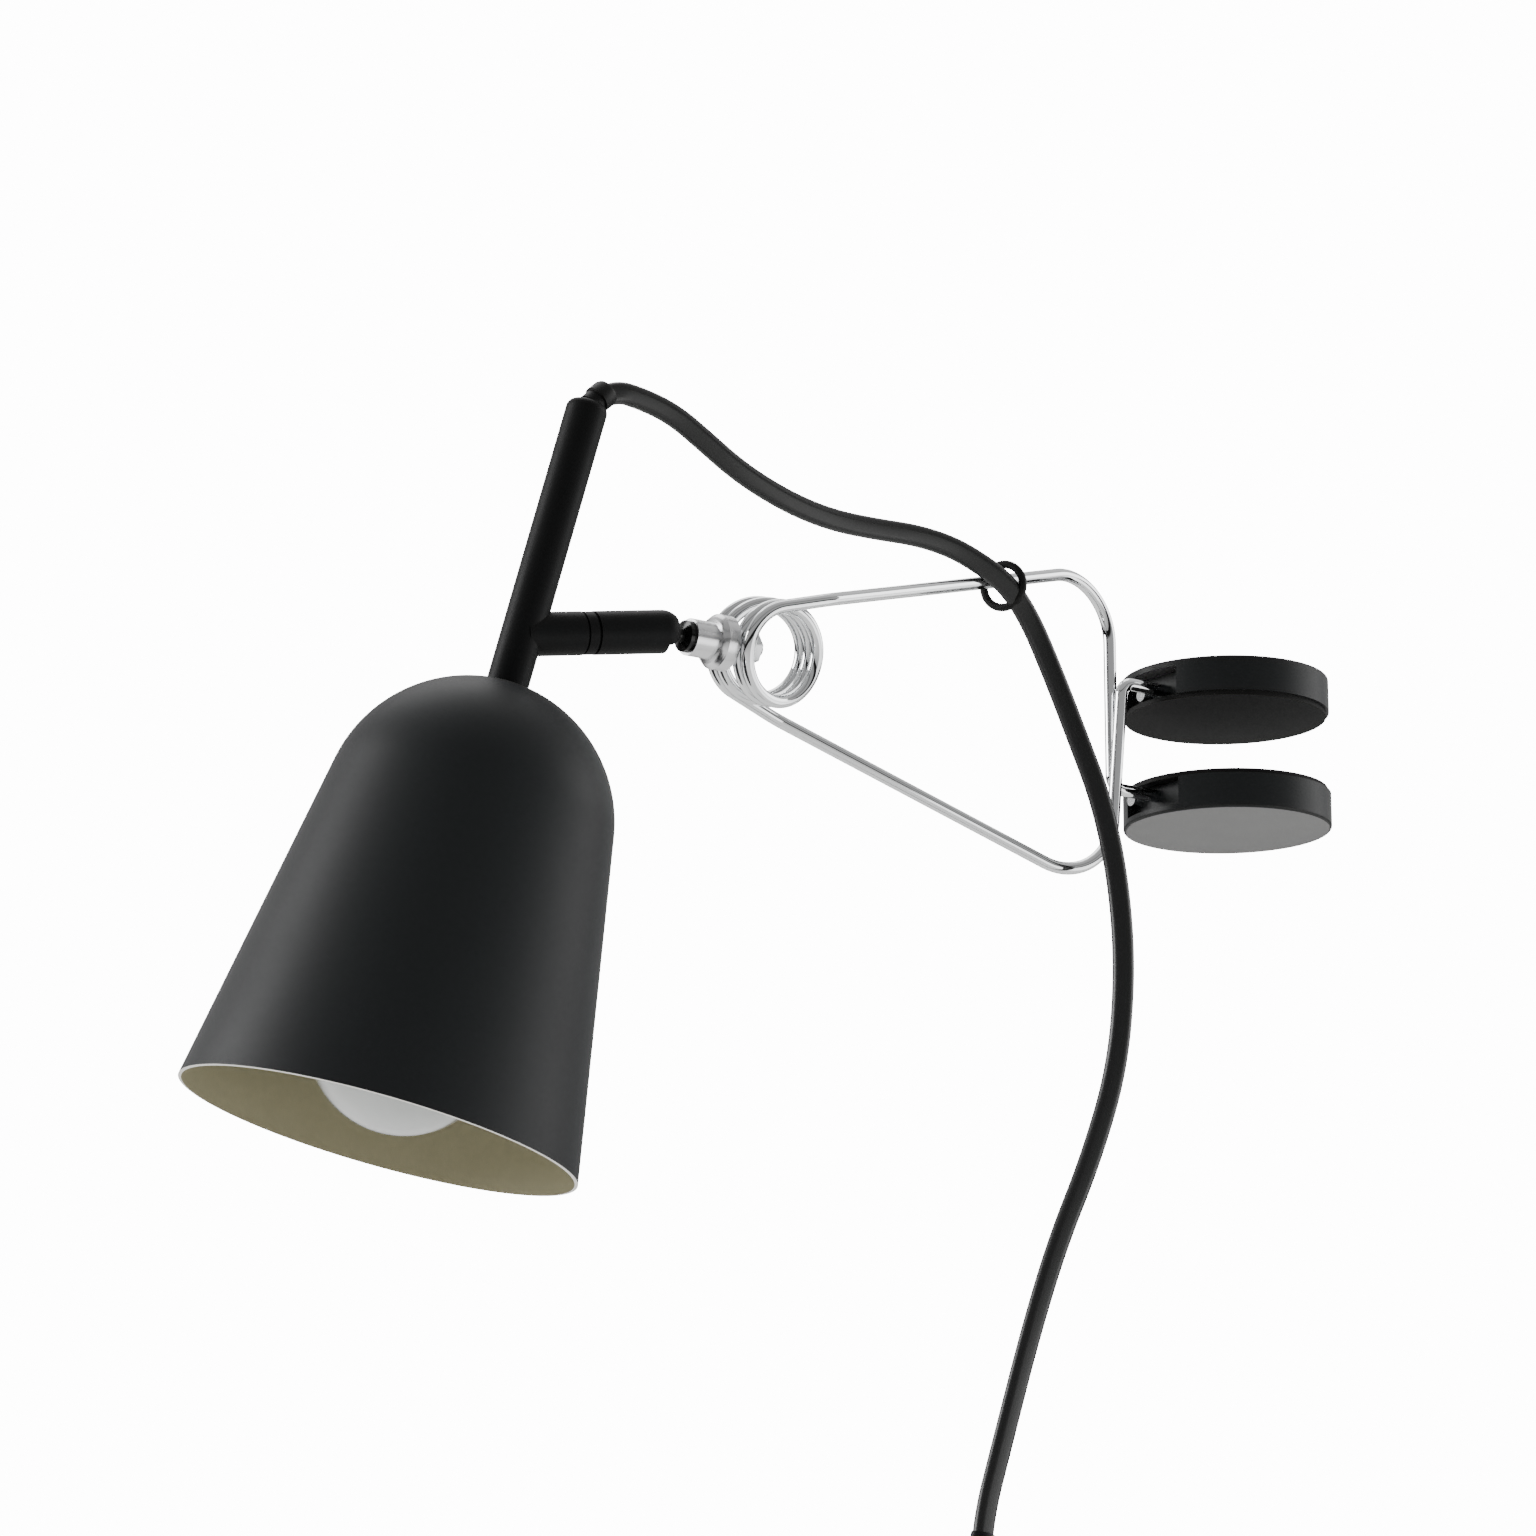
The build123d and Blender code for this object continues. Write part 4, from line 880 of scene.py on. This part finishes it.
# ---------------------------------------------------------------- camera and light
@dataclass
class Studio:
    """Camera, soft lights and pale floor."""

    place: Vector = Vector((-0.8115, -0.9436, -0.3026))
    right: Vector = Vector((0.81614, -0.57786, 0.0))
    up: Vector = Vector((-0.13980, -0.19744, 0.97030))
    lens: float = 117.19
    sensor: float = 36.0
    backdrop: float = 14.0
    depth_tones: tuple[tuple[float, float], ...] = ((-1.0, 0.40), (1.0, 1.0), (-0.2, 0.45), (0.35, 0.8))
    height_tones: tuple[tuple[float, float], ...] = (
        (-1.0, 0.85),
        (1.0, 1.0),
        (-0.28, 0.80),
        (-0.14, 0.03),
        (0.07, 0.03),
        (0.16, 0.95),
        (0.46, 0.90),
        (0.52, 0.20),
        (0.60, 0.95),
    )
    floor_drop: float = 0.030
    floor_size: float = 8.0

    def camera(self) -> None:
        """A long lens, looking a little up at the lamp."""
        data = bpy.data.cameras.new("camera")
        data.lens = self.lens
        data.sensor_width = self.sensor
        data.clip_start = 0.01
        camera = new_object("camera", data)
        right, up = self.right.normalized(), self.up.normalized()
        turn = Matrix((right, up, right.cross(up))).transposed().to_4x4()
        camera.matrix_world = Matrix.Translation(self.place) @ turn
        bpy.context.scene.camera = camera

    def area(self, name: str, place: Vector, aim: Vector, size: float, power: float) -> None:
        """One square soft light.

        Args:
            name: its name.
            place: where it stands.
            aim: what it points at.
            size: its side, in metres.
            power: in watts.
        """
        data = bpy.data.lights.new(name, "AREA")
        data.size = size
        data.energy = power
        light = new_object(name, data)
        light.location = place
        light.rotation_euler = (place - aim).to_track_quat("Z", "Y").to_euler()

    def lights(self) -> None:
        """Key from the upper left, fill from the right, and a soft top light."""
        middle = Vector((-0.15, 0.0, 0.0))
        self.area("key", Vector((-1.45, 0.95, 0.55)), middle, 0.9, 30.0)
        self.area("fill", Vector((1.2, -0.55, 0.4)), middle, 1.0, 10.0)
        self.area("top", Vector((0.1, 0.7, 1.7)), middle, 1.4, 12.0)
        self.area("under", Vector((0.25, -0.45, -0.36)), middle, 0.7, 2.5)
        self.area("mouth", Vector((-0.75, -0.10, -0.42)), Vector((-0.20, 0.0, -0.12)), 0.16, 0.8)

    def surroundings(self) -> None:
        """Bright surroundings with darker parts that metal can mirror; plain white behind."""
        world = bpy.data.worlds.new("studio")
        bpy.context.scene.world = world
        world.use_nodes = True
        tree = world.node_tree
        tree.nodes.clear()
        way = add_node(tree, "TexCoord").outputs["Generated"]
        behind = tuple(self.up.normalized().cross(self.right.normalized()))
        depth = add_node(tree, "VectorMath", {0: way, 1: behind}, operation="DOT_PRODUCT")
        across = self.ramp(tree, depth.outputs["Value"], self.depth_tones)
        height = add_node(tree, "SeparateXYZ", {0: way})
        banded = self.ramp(tree, height.outputs["Z"], self.height_tones)
        tone = add_node(tree, "Math", {0: across, 1: banded}, operation="MULTIPLY")
        lit = add_node(tree, "Background", {"Strength": tone.outputs[0]})
        lit.inputs["Color"].default_value = (1.0, 1.0, 1.0, 1.0)
        seen = add_node(tree, "Background", {"Color": (1.0, 1.0, 1.0, 1.0), "Strength": self.backdrop})
        ray = add_node(tree, "LightPath").outputs["Is Camera Ray"]
        both = add_node(tree, "MixShader", {0: ray, 1: lit.outputs[0], 2: seen.outputs[0]})
        add_node(tree, "OutputWorld", {0: both.outputs[0]})

    @staticmethod
    def ramp(
        tree: bpy.types.NodeTree, value: bpy.types.NodeSocket, tones: Sequence[tuple[float, float]]
    ) -> bpy.types.NodeSocket:
        """Grey tone against a value from -1 to 1.

        Args:
            tree: the world's nodes.
            value: what the tone follows.
            tones: value and tone of each stop.

        Returns:
            The tone.
        """
        share = add_node(tree, "MapRange", {0: value, 1: -1.0})
        made = add_node(tree, "ValToRGB", {0: share.outputs[0]})
        stops = made.color_ramp.elements
        for i, (where, grey) in enumerate(tones):
            stop = stops[i] if i < 2 else stops.new((where + 1) / 2)
            stop.position = (where + 1) / 2
            stop.color = (grey, grey, grey, 1.0)
        return made.outputs["Color"]

    def floor(self) -> None:
        """A pale floor under everything."""
        low = CAD_BOX[0].z - self.floor_drop
        half = self.floor_size / 2
        points = [Vector((x * half, y * half, low)) for x, y in ((-1, -1), (1, -1), (1, 1), (-1, 1))]
        finish = Coated("pale_floor", (0.80, 0.80, 0.79), 0.7, drift=0.03)
        floor = from_faces("floor", points, [(0, 1, 2, 3)], [finish])

    def build(self) -> None:
        """Everything that isn't the lamp."""
        self.camera()
        self.lights()
        self.surroundings()
        self.floor()


# ---------------------------------------------------------------- cord
COIL_CELLS = ((0, 0), (0, 1), (1, 1), (2, 1), (2, 0), (2, -1), (1, -1), (0, -1))


class End(Enum):
    """What a stretch of cord runs into."""

    ONWARD = "object"
    SWITCH = "fitting"
    PLUG = "plug"


@dataclass
class Flex:
    """The flat two core cord, from the stem to the switch, and its spare length with the plug."""

    width: float = 5.4 * MM
    thickness: float = 3.4 * MM
    groove: float = 0.04 * MM
    steps: int = 10
    first_split: int = 3
    second_split: int = 7
    coil_turns: float = 7.56
    per_turn: int = 16
    round_core: float = 4.5 * MM
    tail_bend: float = 16.0 * MM
    relief_length: float = 22.0 * MM
    upper_relief: float = 9.0 * MM
    toward_viewer: Vector = Vector((-0.56, -0.79, -0.24)).normalized()

    def section(self) -> list[tuple[float, float]]:
        """Two round cores side by side, with a shallow groove between them."""
        core = self.thickness / 2
        apart = self.width / 2 - core
        corners = []
        for side in (1, -1):
            for i in range(9):
                angle = side * math.pi / 2 * (1 - i / 4)
                corners.append((side * apart + side * math.cos(angle) * core, math.sin(angle) * core))
            corners.append((0.0, -side * (core - self.groove)))
        return corners

    def middle(self, first: Sequence[float], second: Sequence[float]) -> Vector:
        """Half way between two points."""
        return (Vector(first) + Vector(second)) / 2

    def upper(self, switch: Sequence[bpy.types.Object]) -> None:
        """Cord from the stem over the joints to the ring, and down to the switch.

        Args:
            switch: the pieces of the switch that hangs on it; not used.
        """
        route = [CORD_START, *BRIDGE_POINTS, CORD_IN_RING, *DROP_POINTS]
        end_turn = Vector((0, -1, 0))
        strand = Strand(nurbs_points(route, self.steps)).face(
            lambda share: self.toward_viewer.lerp(end_turn, min(max((share - 0.72) / 0.2, 0.0), 1.0))
        )
        seams = [
            self.middle(BRIDGE_POINTS[self.first_split], BRIDGE_POINTS[self.first_split + 1]),
            self.middle(BRIDGE_POINTS[self.second_split], BRIDGE_POINTS[self.second_split + 1]),
            self.middle(BRIDGE_POINTS[-1], CORD_IN_RING),
        ]
        cuts = [0, *[strand.nearest(seam) for seam in seams], len(strand.points) - 1]
        pairs = (("head", "arm"), ("arm", "seat"), ("seat", "clip"))
        for i, (near, far) in enumerate(pairs):
            part = strand.cut(cuts[i], cuts[i + 1])
            piece = sweep(f"cord_bridge_{i + 1}_piece", part, self.section(), SHEATH)
            lead = 6 if i == 0 else 1
            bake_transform(piece, near, far, start=tuple(part.points[lead]), end=tuple(part.points[-2]))
            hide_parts(f"cord_bridge_{i + 1}")
        part = strand.cut(cuts[3], cuts[4])
        piece = sweep("cord_drop_piece", part, self.section(), SHEATH)
        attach(piece, "clip")
        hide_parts("cord_drop")
        last = len(part.points) - 1
        entry = self.relief("switch_upper_relief", part, last, -1, smooth_taper, self.upper_relief)

    def cell(self, turn: int) -> tuple[float, float]:
        """Depth below the outermost turn, and place across the coil, of one of its turns."""
        depth, side = COIL_CELLS[min(turn, len(COIL_CELLS) - 1)]
        return depth * self.width, side * (self.thickness + 0.2 * MM)

    def lead_route(self) -> list[Vector]:
        """Control points from the switch through the spare coil to the plug."""
        low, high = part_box("cord_coil")
        centre = (low + high) / 2
        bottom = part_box("switch_base")[0].z
        joins = math.radians(118)
        reach = 1 / math.cos(math.pi / self.per_turn)
        outer = (high.x - low.x) / 2 - self.width / 2 - 0.2 * MM
        route = [Vector((centre.x, centre.y, bottom - drop)) for drop in (0.0, 3.5 * MM)]
        route.append(Vector((centre.x - 1.2 * MM, centre.y, bottom - 8.6 * MM)))
        route.append(Vector((centre.x - 7.0 * MM, centre.y, bottom - 14.6 * MM)))
        for i in range(round(self.coil_turns * self.per_turn)):
            layer, step = divmod(i, self.per_turn)
            share = min(max((step / self.per_turn - 0.75) / 0.25, 0.0), 1.0)
            here, there = self.cell(layer), self.cell(layer + 1)
            radius = (outer - here[0] - (there[0] - here[0]) * share) * reach
            side = here[1] + (there[1] - here[1]) * share
            angle = joins + math.tau * i / self.per_turn
            route.append(centre + Vector((radius * math.cos(angle), side, radius * math.sin(angle))))
        return route + self.tail_route(centre)

    def tail_route(self, centre: Vector) -> list[Vector]:
        """Control points off the coil's side, over in a half circle and down into the plug.

        Args:
            centre: the coil's centre.

        Returns:
            The points, the last one inside the plug.
        """
        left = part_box("cord_tail")[0].x + self.round_core / 2
        right = left + 2 * self.tail_bend
        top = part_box("plug_relief")[1].z
        arch = top + self.tail_bend * math.tan(math.pi / 8)
        corner = self.tail_bend / math.cos(math.pi / 8)
        first = Vector((left - 2.6 * MM, centre.y - 1.4 * MM, top - 8.5 * MM))
        route = [first, Vector((left, centre.y, top + 1.0 * MM))]
        for i in range(4):
            angle = math.pi * (7 - 2 * i) / 8
            across = left + self.tail_bend + corner * math.cos(angle)
            route.append(Vector((across, centre.y, arch + corner * math.sin(angle))))
        route.append(Vector((right, centre.y, top + 0.5 * MM)))
        route.append(Vector((right, centre.y, top - 9.0 * MM)))
        return route

    def lower(self, plug: Sequence[bpy.types.Object]) -> None:
        """Cord from the switch, through the tied coil, to the plug.

        Args:
            plug: the pieces of the plug at its end; not used.
        """
        strand = Strand(nurbs_points(self.lead_route(), 6)).face(lambda share: Vector((0, -1, 0)))
        piece = sweep("cord_lead_piece", strand, self.section(), SHEATH)
        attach(piece, "clip")
        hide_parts("cord_link", "cord_coil", "cord_tail")
        last = len(strand.points) - 1
        entry = self.relief("switch_lower_relief", strand, 0, 1, smooth_taper, self.upper_relief)
        sleeve = self.relief("plug_relief_piece", strand, last, -1, ribbed_taper, self.relief_length)
        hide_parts("plug_relief")

    def relief(
        self, name: str, strand: Strand, end: int, way: int, shape: Callable[[float], float], length: float
    ) -> bpy.types.Object:
        """Tapered, ribbed sleeve on the cord where it enters a housing.

        Args:
            name: the piece's name.
            strand: the cord's line.
            end: point number at the housing.
            way: 1 or -1, the way along the line that leads away from the housing.
            shape: size of the sleeve by share of the way from the housing.
            length: how far it covers the cord.

        Returns:
            The sleeve.
        """
        there, walked = end, 0.0
        while walked < length:
            walked += (strand.points[there + way] - strand.points[there]).length
            there += way
        part = strand.cut(min(end, there), max(end, there))
        fine = self.finer(part, 4)
        tall, wide = self.thickness / 2 + 0.5 * MM, self.width / 2 + 0.4 * MM
        turns = [math.tau * i / 24 for i in range(24)]
        section = [(wide * math.cos(a), tall * math.sin(a)) for a in turns]
        grow = shape if way > 0 else lambda share: shape(1 - share)
        piece = sweep(name, fine, section, RUBBER, grow=grow)
        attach(piece, "clip")
        return piece

    @staticmethod
    def finer(strand: Strand, times: int) -> Strand:
        """The same strand with more steps between its points."""
        made = Strand([], [], [])
        for i in range(len(strand.points) - 1):
            for j in range(times):
                share = j / times
                made.points.append(strand.points[i].lerp(strand.points[i + 1], share))
                made.across.append(strand.across[i].lerp(strand.across[i + 1], share).normalized())
                made.flat.append(strand.flat[i].lerp(strand.flat[i + 1], share).normalized())
        made.points.append(strand.points[-1])
        made.across.append(strand.across[-1])
        made.flat.append(strand.flat[-1])
        return made


def ribbed_taper(share: float) -> float:
    """Size of the plug's ribbed sleeve, from the plug outward."""
    return 1.55 - 0.5 * share + 0.10 * math.cos(share * math.tau * 6)


def smooth_taper(share: float) -> float:
    """Size of the switch's smooth sleeves, from the switch outward."""
    return 1.45 - 0.45 * share


# ---------------------------------------------------------------- sub-assemblies
@dataclass
class SubAssembly:
    """Pieces that stand together: each solid's name with the finish it wears."""

    name: str = "pieces"
    made: list[bpy.types.Object] = field(default_factory=list)

    def wears(self) -> dict[str, tuple[Finish, float]]:
        """Solid's name to its finish and the width of its broken edges."""
        return {}

    def dress(self) -> None:
        """Make the detailed pieces that follow their solids closely."""
        for node, (finish, edge) in self.wears().items():
            self.made.append(dressed_copy(node, finish, edge))

    def special(self) -> None:
        """Make the pieces with a shape of their own."""

    def build(self) -> list[bpy.types.Object]:
        """Make the whole sub-assembly.

        Returns:
            Its pieces.
        """
        self.dress()
        self.special()
        for piece in self.made:
            LOG.info("%s: %s, %d faces", self.name, piece.name, len(piece.data.polygons))
        return self.made


@dataclass
class Clip(SubAssembly):
    """Spring wire clip with its two round pads and the rubber ring on its upper leg."""

    name: str = "clip"
    coil_outside: float = 26.0 * MM
    lean: float = math.radians(16)
    outer_turns: float = 7.7 * MM

    def wears(self) -> dict[str, tuple[Finish, float]]:
        """Chrome wire, black pads with rubber faces."""
        found: dict[str, tuple[Finish, float]] = {
            "upper_leg_wire": (CHROME_WIRE, 0.0),
            "lower_leg_wire": (CHROME_WIRE, 0.0),
            "cord_ring": (RUBBER, 0.0),
        }
        for side in ("lower", "upper"):
            found[f"{side}_pad_grip"] = (PAD_GRIP, 0.0)
            found[f"{side}_pad_body"] = (PAD_WALL, 0.0)
            found[f"{side}_pad_cap"] = (PAD_COVER, 0.0)
        return found

    def special(self) -> None:
        """The coil, and the pads' two finishes."""
        for piece in self.made:
            if "pad_cap" in piece.name:
                self.blacken_edge(piece)
        self.made.append(self.coil())

    @staticmethod
    def blacken_edge(cap: bpy.types.Object) -> None:
        """Give a pad's cap the wall's finish, except on its flat outer face."""
        cap.data.materials.append(PAD_WALL.material())
        for face in cap.data.polygons:
            face.material_index = 0 if abs(face.normal.z) > 0.97 else 1

    def coil(self) -> bpy.types.Object:
        """The coil, which winds up as the jaw opens."""
        coil = dressed_copy("spring_coil", CHROME_WIRE, rides=False)
        axis = Vector((0, math.cos(self.lean), math.sin(self.lean))) * self.outer_turns
        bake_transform(coil, "clip", "upper_jaw", start=tuple(COIL - axis), end=tuple(COIL + axis))
        return coil


@dataclass
class BallJoint(SubAssembly):
    """Ball stud with its chrome cup, clamped through the coil, and the seat that the ball turns in."""

    name: str = "ball joint"

    def wears(self) -> dict[str, tuple[Finish, float]]:
        """Glossy black stud, turned chrome cup, zinc clamp pieces."""
        return {
            "ball_stud": (STUD_GLOSS, 0.0),
            "clamp_cup": (CHROME_CUP, 0.0),
            "clamp_saddle": (ZINC, 0.25 * MM),
            "clamp_nut": (ZINC, 0.25 * MM),
            "ball_seat": (NYLON, 0.0),
        }


@dataclass
class Arm(SubAssembly):
    """Short arm between the ball and the stem, with the swivel inside it."""

    name: str = "arm"

    def wears(self) -> dict[str, tuple[Finish, float]]:
        """Satin black tube; zinc screw."""
        return {
            "arm_sleeve": (TUBE_PAINT, 0.0),
            "seat_plug": (NYLON, 0.0),
            "arm_branch": (TUBE_PAINT, 0.0),
            "swivel_ring": (TUBE_PAINT, 0.0),
            "swivel_screw": (ZINC, 0.15 * MM),
            "swivel_washer": (ZINC, 0.0),
        }


@dataclass
class Head(SubAssembly):
    """Stem, bell shade, lampholder and bulb."""

    name: str = "head"
    rim_radius: float = 47.0 * MM
    dome_radius: float = 34.0 * MM
    hole: float = 4.0 * MM
    wall: float = 0.8 * MM
    around: int = 217
    along: int = 84

    def wears(self) -> dict[str, tuple[Finish, float]]:
        """Satin black stem, lampholder of black plastic, opal bulb."""
        return {
            "stem_tube": (TUBE_PAINT, 0.0),
            "stem_plug": (TUBE_PAINT, 0.0),
            "cord_sleeve": (RUBBER, 0.0),
            "inner_flex": (SHEATH, 0.0),
            "shade_nipple": (ZINC, 0.0),
            "shade_washer": (ZINC, 0.0),
            "shade_nut": (ZINC, 0.3 * MM),
            "lampholder_cap": (BLACK_PLASTIC, 0.0),
            "lampholder_shell": (BLACK_PLASTIC, 0.0),
            "lampholder_insert": (HOLDER_CORE, 0.0),
            "lampholder_thread": (BRASS, 0.0),
            "lampholder_contact": (BRASS, 0.0),
            "bulb_glass": (OPAL, 0.0),
            "bulb_cap": (CAP_METAL, 0.0),
        }

    def special(self) -> None:
        """The spun bell: painted outside and inside, bare at its cut rim."""
        bell = bell_tree().grow(
            "shade_piece",
            {
                "Rim radius": self.rim_radius,
                "Dome radius": self.dome_radius,
                "Height": SHADE_HEIGHT,
                "Hole radius": self.hole,
                "Steps round": self.around,
                "Steps along": self.along,
                "Finish": SHADE_PAINT.material(),
            },
        )
        outward(bell, Vector((0, 0, SHADE_HEIGHT * 0.4)))
        stand_on(bell, RIM)
        bell.data.materials.clear()
        for finish in (SHADE_PAINT, SHADE_LINING, RIM_PAINT):
            bell.data.materials.append(finish.material())
        wall = bell.modifiers.new("wall", "SOLIDIFY")
        wall.thickness = self.wall
        wall.offset = -1.0
        wall.use_even_offset = True
        wall.material_offset = 1
        wall.material_offset_rim = 2
        applied(bell)
        smooth(bell.data)
        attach(bell, "head")
        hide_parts("shade")
        self.made.append(bell)


@dataclass
class Switch(SubAssembly):
    """Rocker switch that hangs in the cord."""

    name: str = "switch"

    def wears(self) -> dict[str, tuple[Finish, float]]:
        """Black housing in two halves, glossy key."""
        return {
            "switch_base": (BLACK_PLASTIC, 0.5 * MM),
            "switch_cover": (BLACK_PLASTIC, 0.5 * MM),
            "switch_rocker": (KEY_PLASTIC, 0.3 * MM),
            "switch_screws": (ZINC, 0.0),
        }

@dataclass
class Plug(SubAssembly):
    """Flat two pin plug."""

    name: str = "plug"

    def wears(self) -> dict[str, tuple[Finish, float]]:
        """Black body, nickelled pins."""
        return {"plug_body": (BLACK_PLASTIC, 0.0), "plug_pins": (CAP_METAL, 0.4 * MM)}


@dataclass
class Tie(SubAssembly):
    """Wire tie wound round the coil of spare cord, its ends twisted together."""

    name: str = "tie"
    wraps: int = 3
    wire: float = 1.1 * MM
    twist_length: float = 9.0 * MM

    def special(self) -> None:
        """The wraps, and the twisted ends below them."""
        low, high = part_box("cord_tie")
        middle = (low + high) / 2
        wound = wraps_tree().grow(
            "cord_tie_piece",
            {
                "Count": self.wraps,
                "Spacing": self.wire * 1.15,
                "Width": high.y - low.y - self.wire * 1.2,
                "Height": high.z - low.z - self.wire * 1.2,
                "Corner": 3.0 * MM,
                "Thickness": self.wire / 2,
                "Finish": TIE_SKIN.material(),
            },
        )
        wound.data.transform(Matrix.Translation(middle))
        smooth(wound.data)
        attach(wound, "clip")
        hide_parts("cord_tie")
        self.made += [wound, self.twist(Vector((middle.x, low.y + self.wire, middle.z)))]

    def twist(self, start: Vector) -> bpy.types.Object:
        """The two ends of the tie, wound round each other."""
        radius = self.wire / 2
        steps = 48
        points, faces, offset = [], [], 0
        work = bmesh.new()
        for half in (0.0, math.pi):
            line = []
            for i in range(steps + 1):
                share = i / steps
                angle = half + share * math.tau * 2.5
                centre = start + Vector((0.35, -0.55, -0.75)).normalized() * (share * self.twist_length)
                line.append(centre + Vector((math.cos(angle), math.sin(angle) * 0.6, math.sin(angle) * 0.6)) * radius)
            strand = Strand(line).face(lambda share: Vector((0.9, 0.3, 0.3)))
            turns = [math.tau * i / 8 for i in range(8)]
            section = [(radius * 0.9 * math.cos(a), radius * 0.9 * math.sin(a)) for a in turns]
            end = sweep("tie_end", strand, section, TIE_SKIN)
            work.from_mesh(end.data)
            bpy.data.objects.remove(end)
        mesh = bpy.data.meshes.new("cord_tie_twist")
        work.to_mesh(mesh)
        work.free()
        mesh.materials.append(TIE_SKIN.material())
        smooth(mesh)
        piece = new_object("cord_tie_twist", mesh)
        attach(piece, "clip")
        return piece


def outward(piece: bpy.types.Object, inside: Vector) -> None:
    """Turn an open skin's faces away from a point inside it.

    Args:
        piece: the skin.
        inside: a point on its inner side.
    """
    work = bmesh.new()
    work.from_mesh(piece.data)
    bmesh.ops.recalc_face_normals(work, faces=work.faces)
    facing = sum((f.calc_center_median() - inside).dot(f.normal) for f in work.faces)
    if facing < 0:
        bmesh.ops.reverse_faces(work, faces=work.faces)
    work.to_mesh(piece.data)
    work.free()


def main() -> None:
    """Build the studio and the lamp, the cords first."""
    logging.basicConfig(level=logging.INFO, format="%(name)s: %(message)s")
    Studio().build()
    switch, plug = Switch(), Plug()
    switch.build()
    plug.build()
    flex = Flex()
    flex.upper(switch.made)
    flex.lower(plug.made)
    LOG.info("cord: laid from stem to plug")
    for part in (Tie(), Clip(), BallJoint(), Arm(), Head()):
        part.build()


if __name__ == "__main__":
    main()
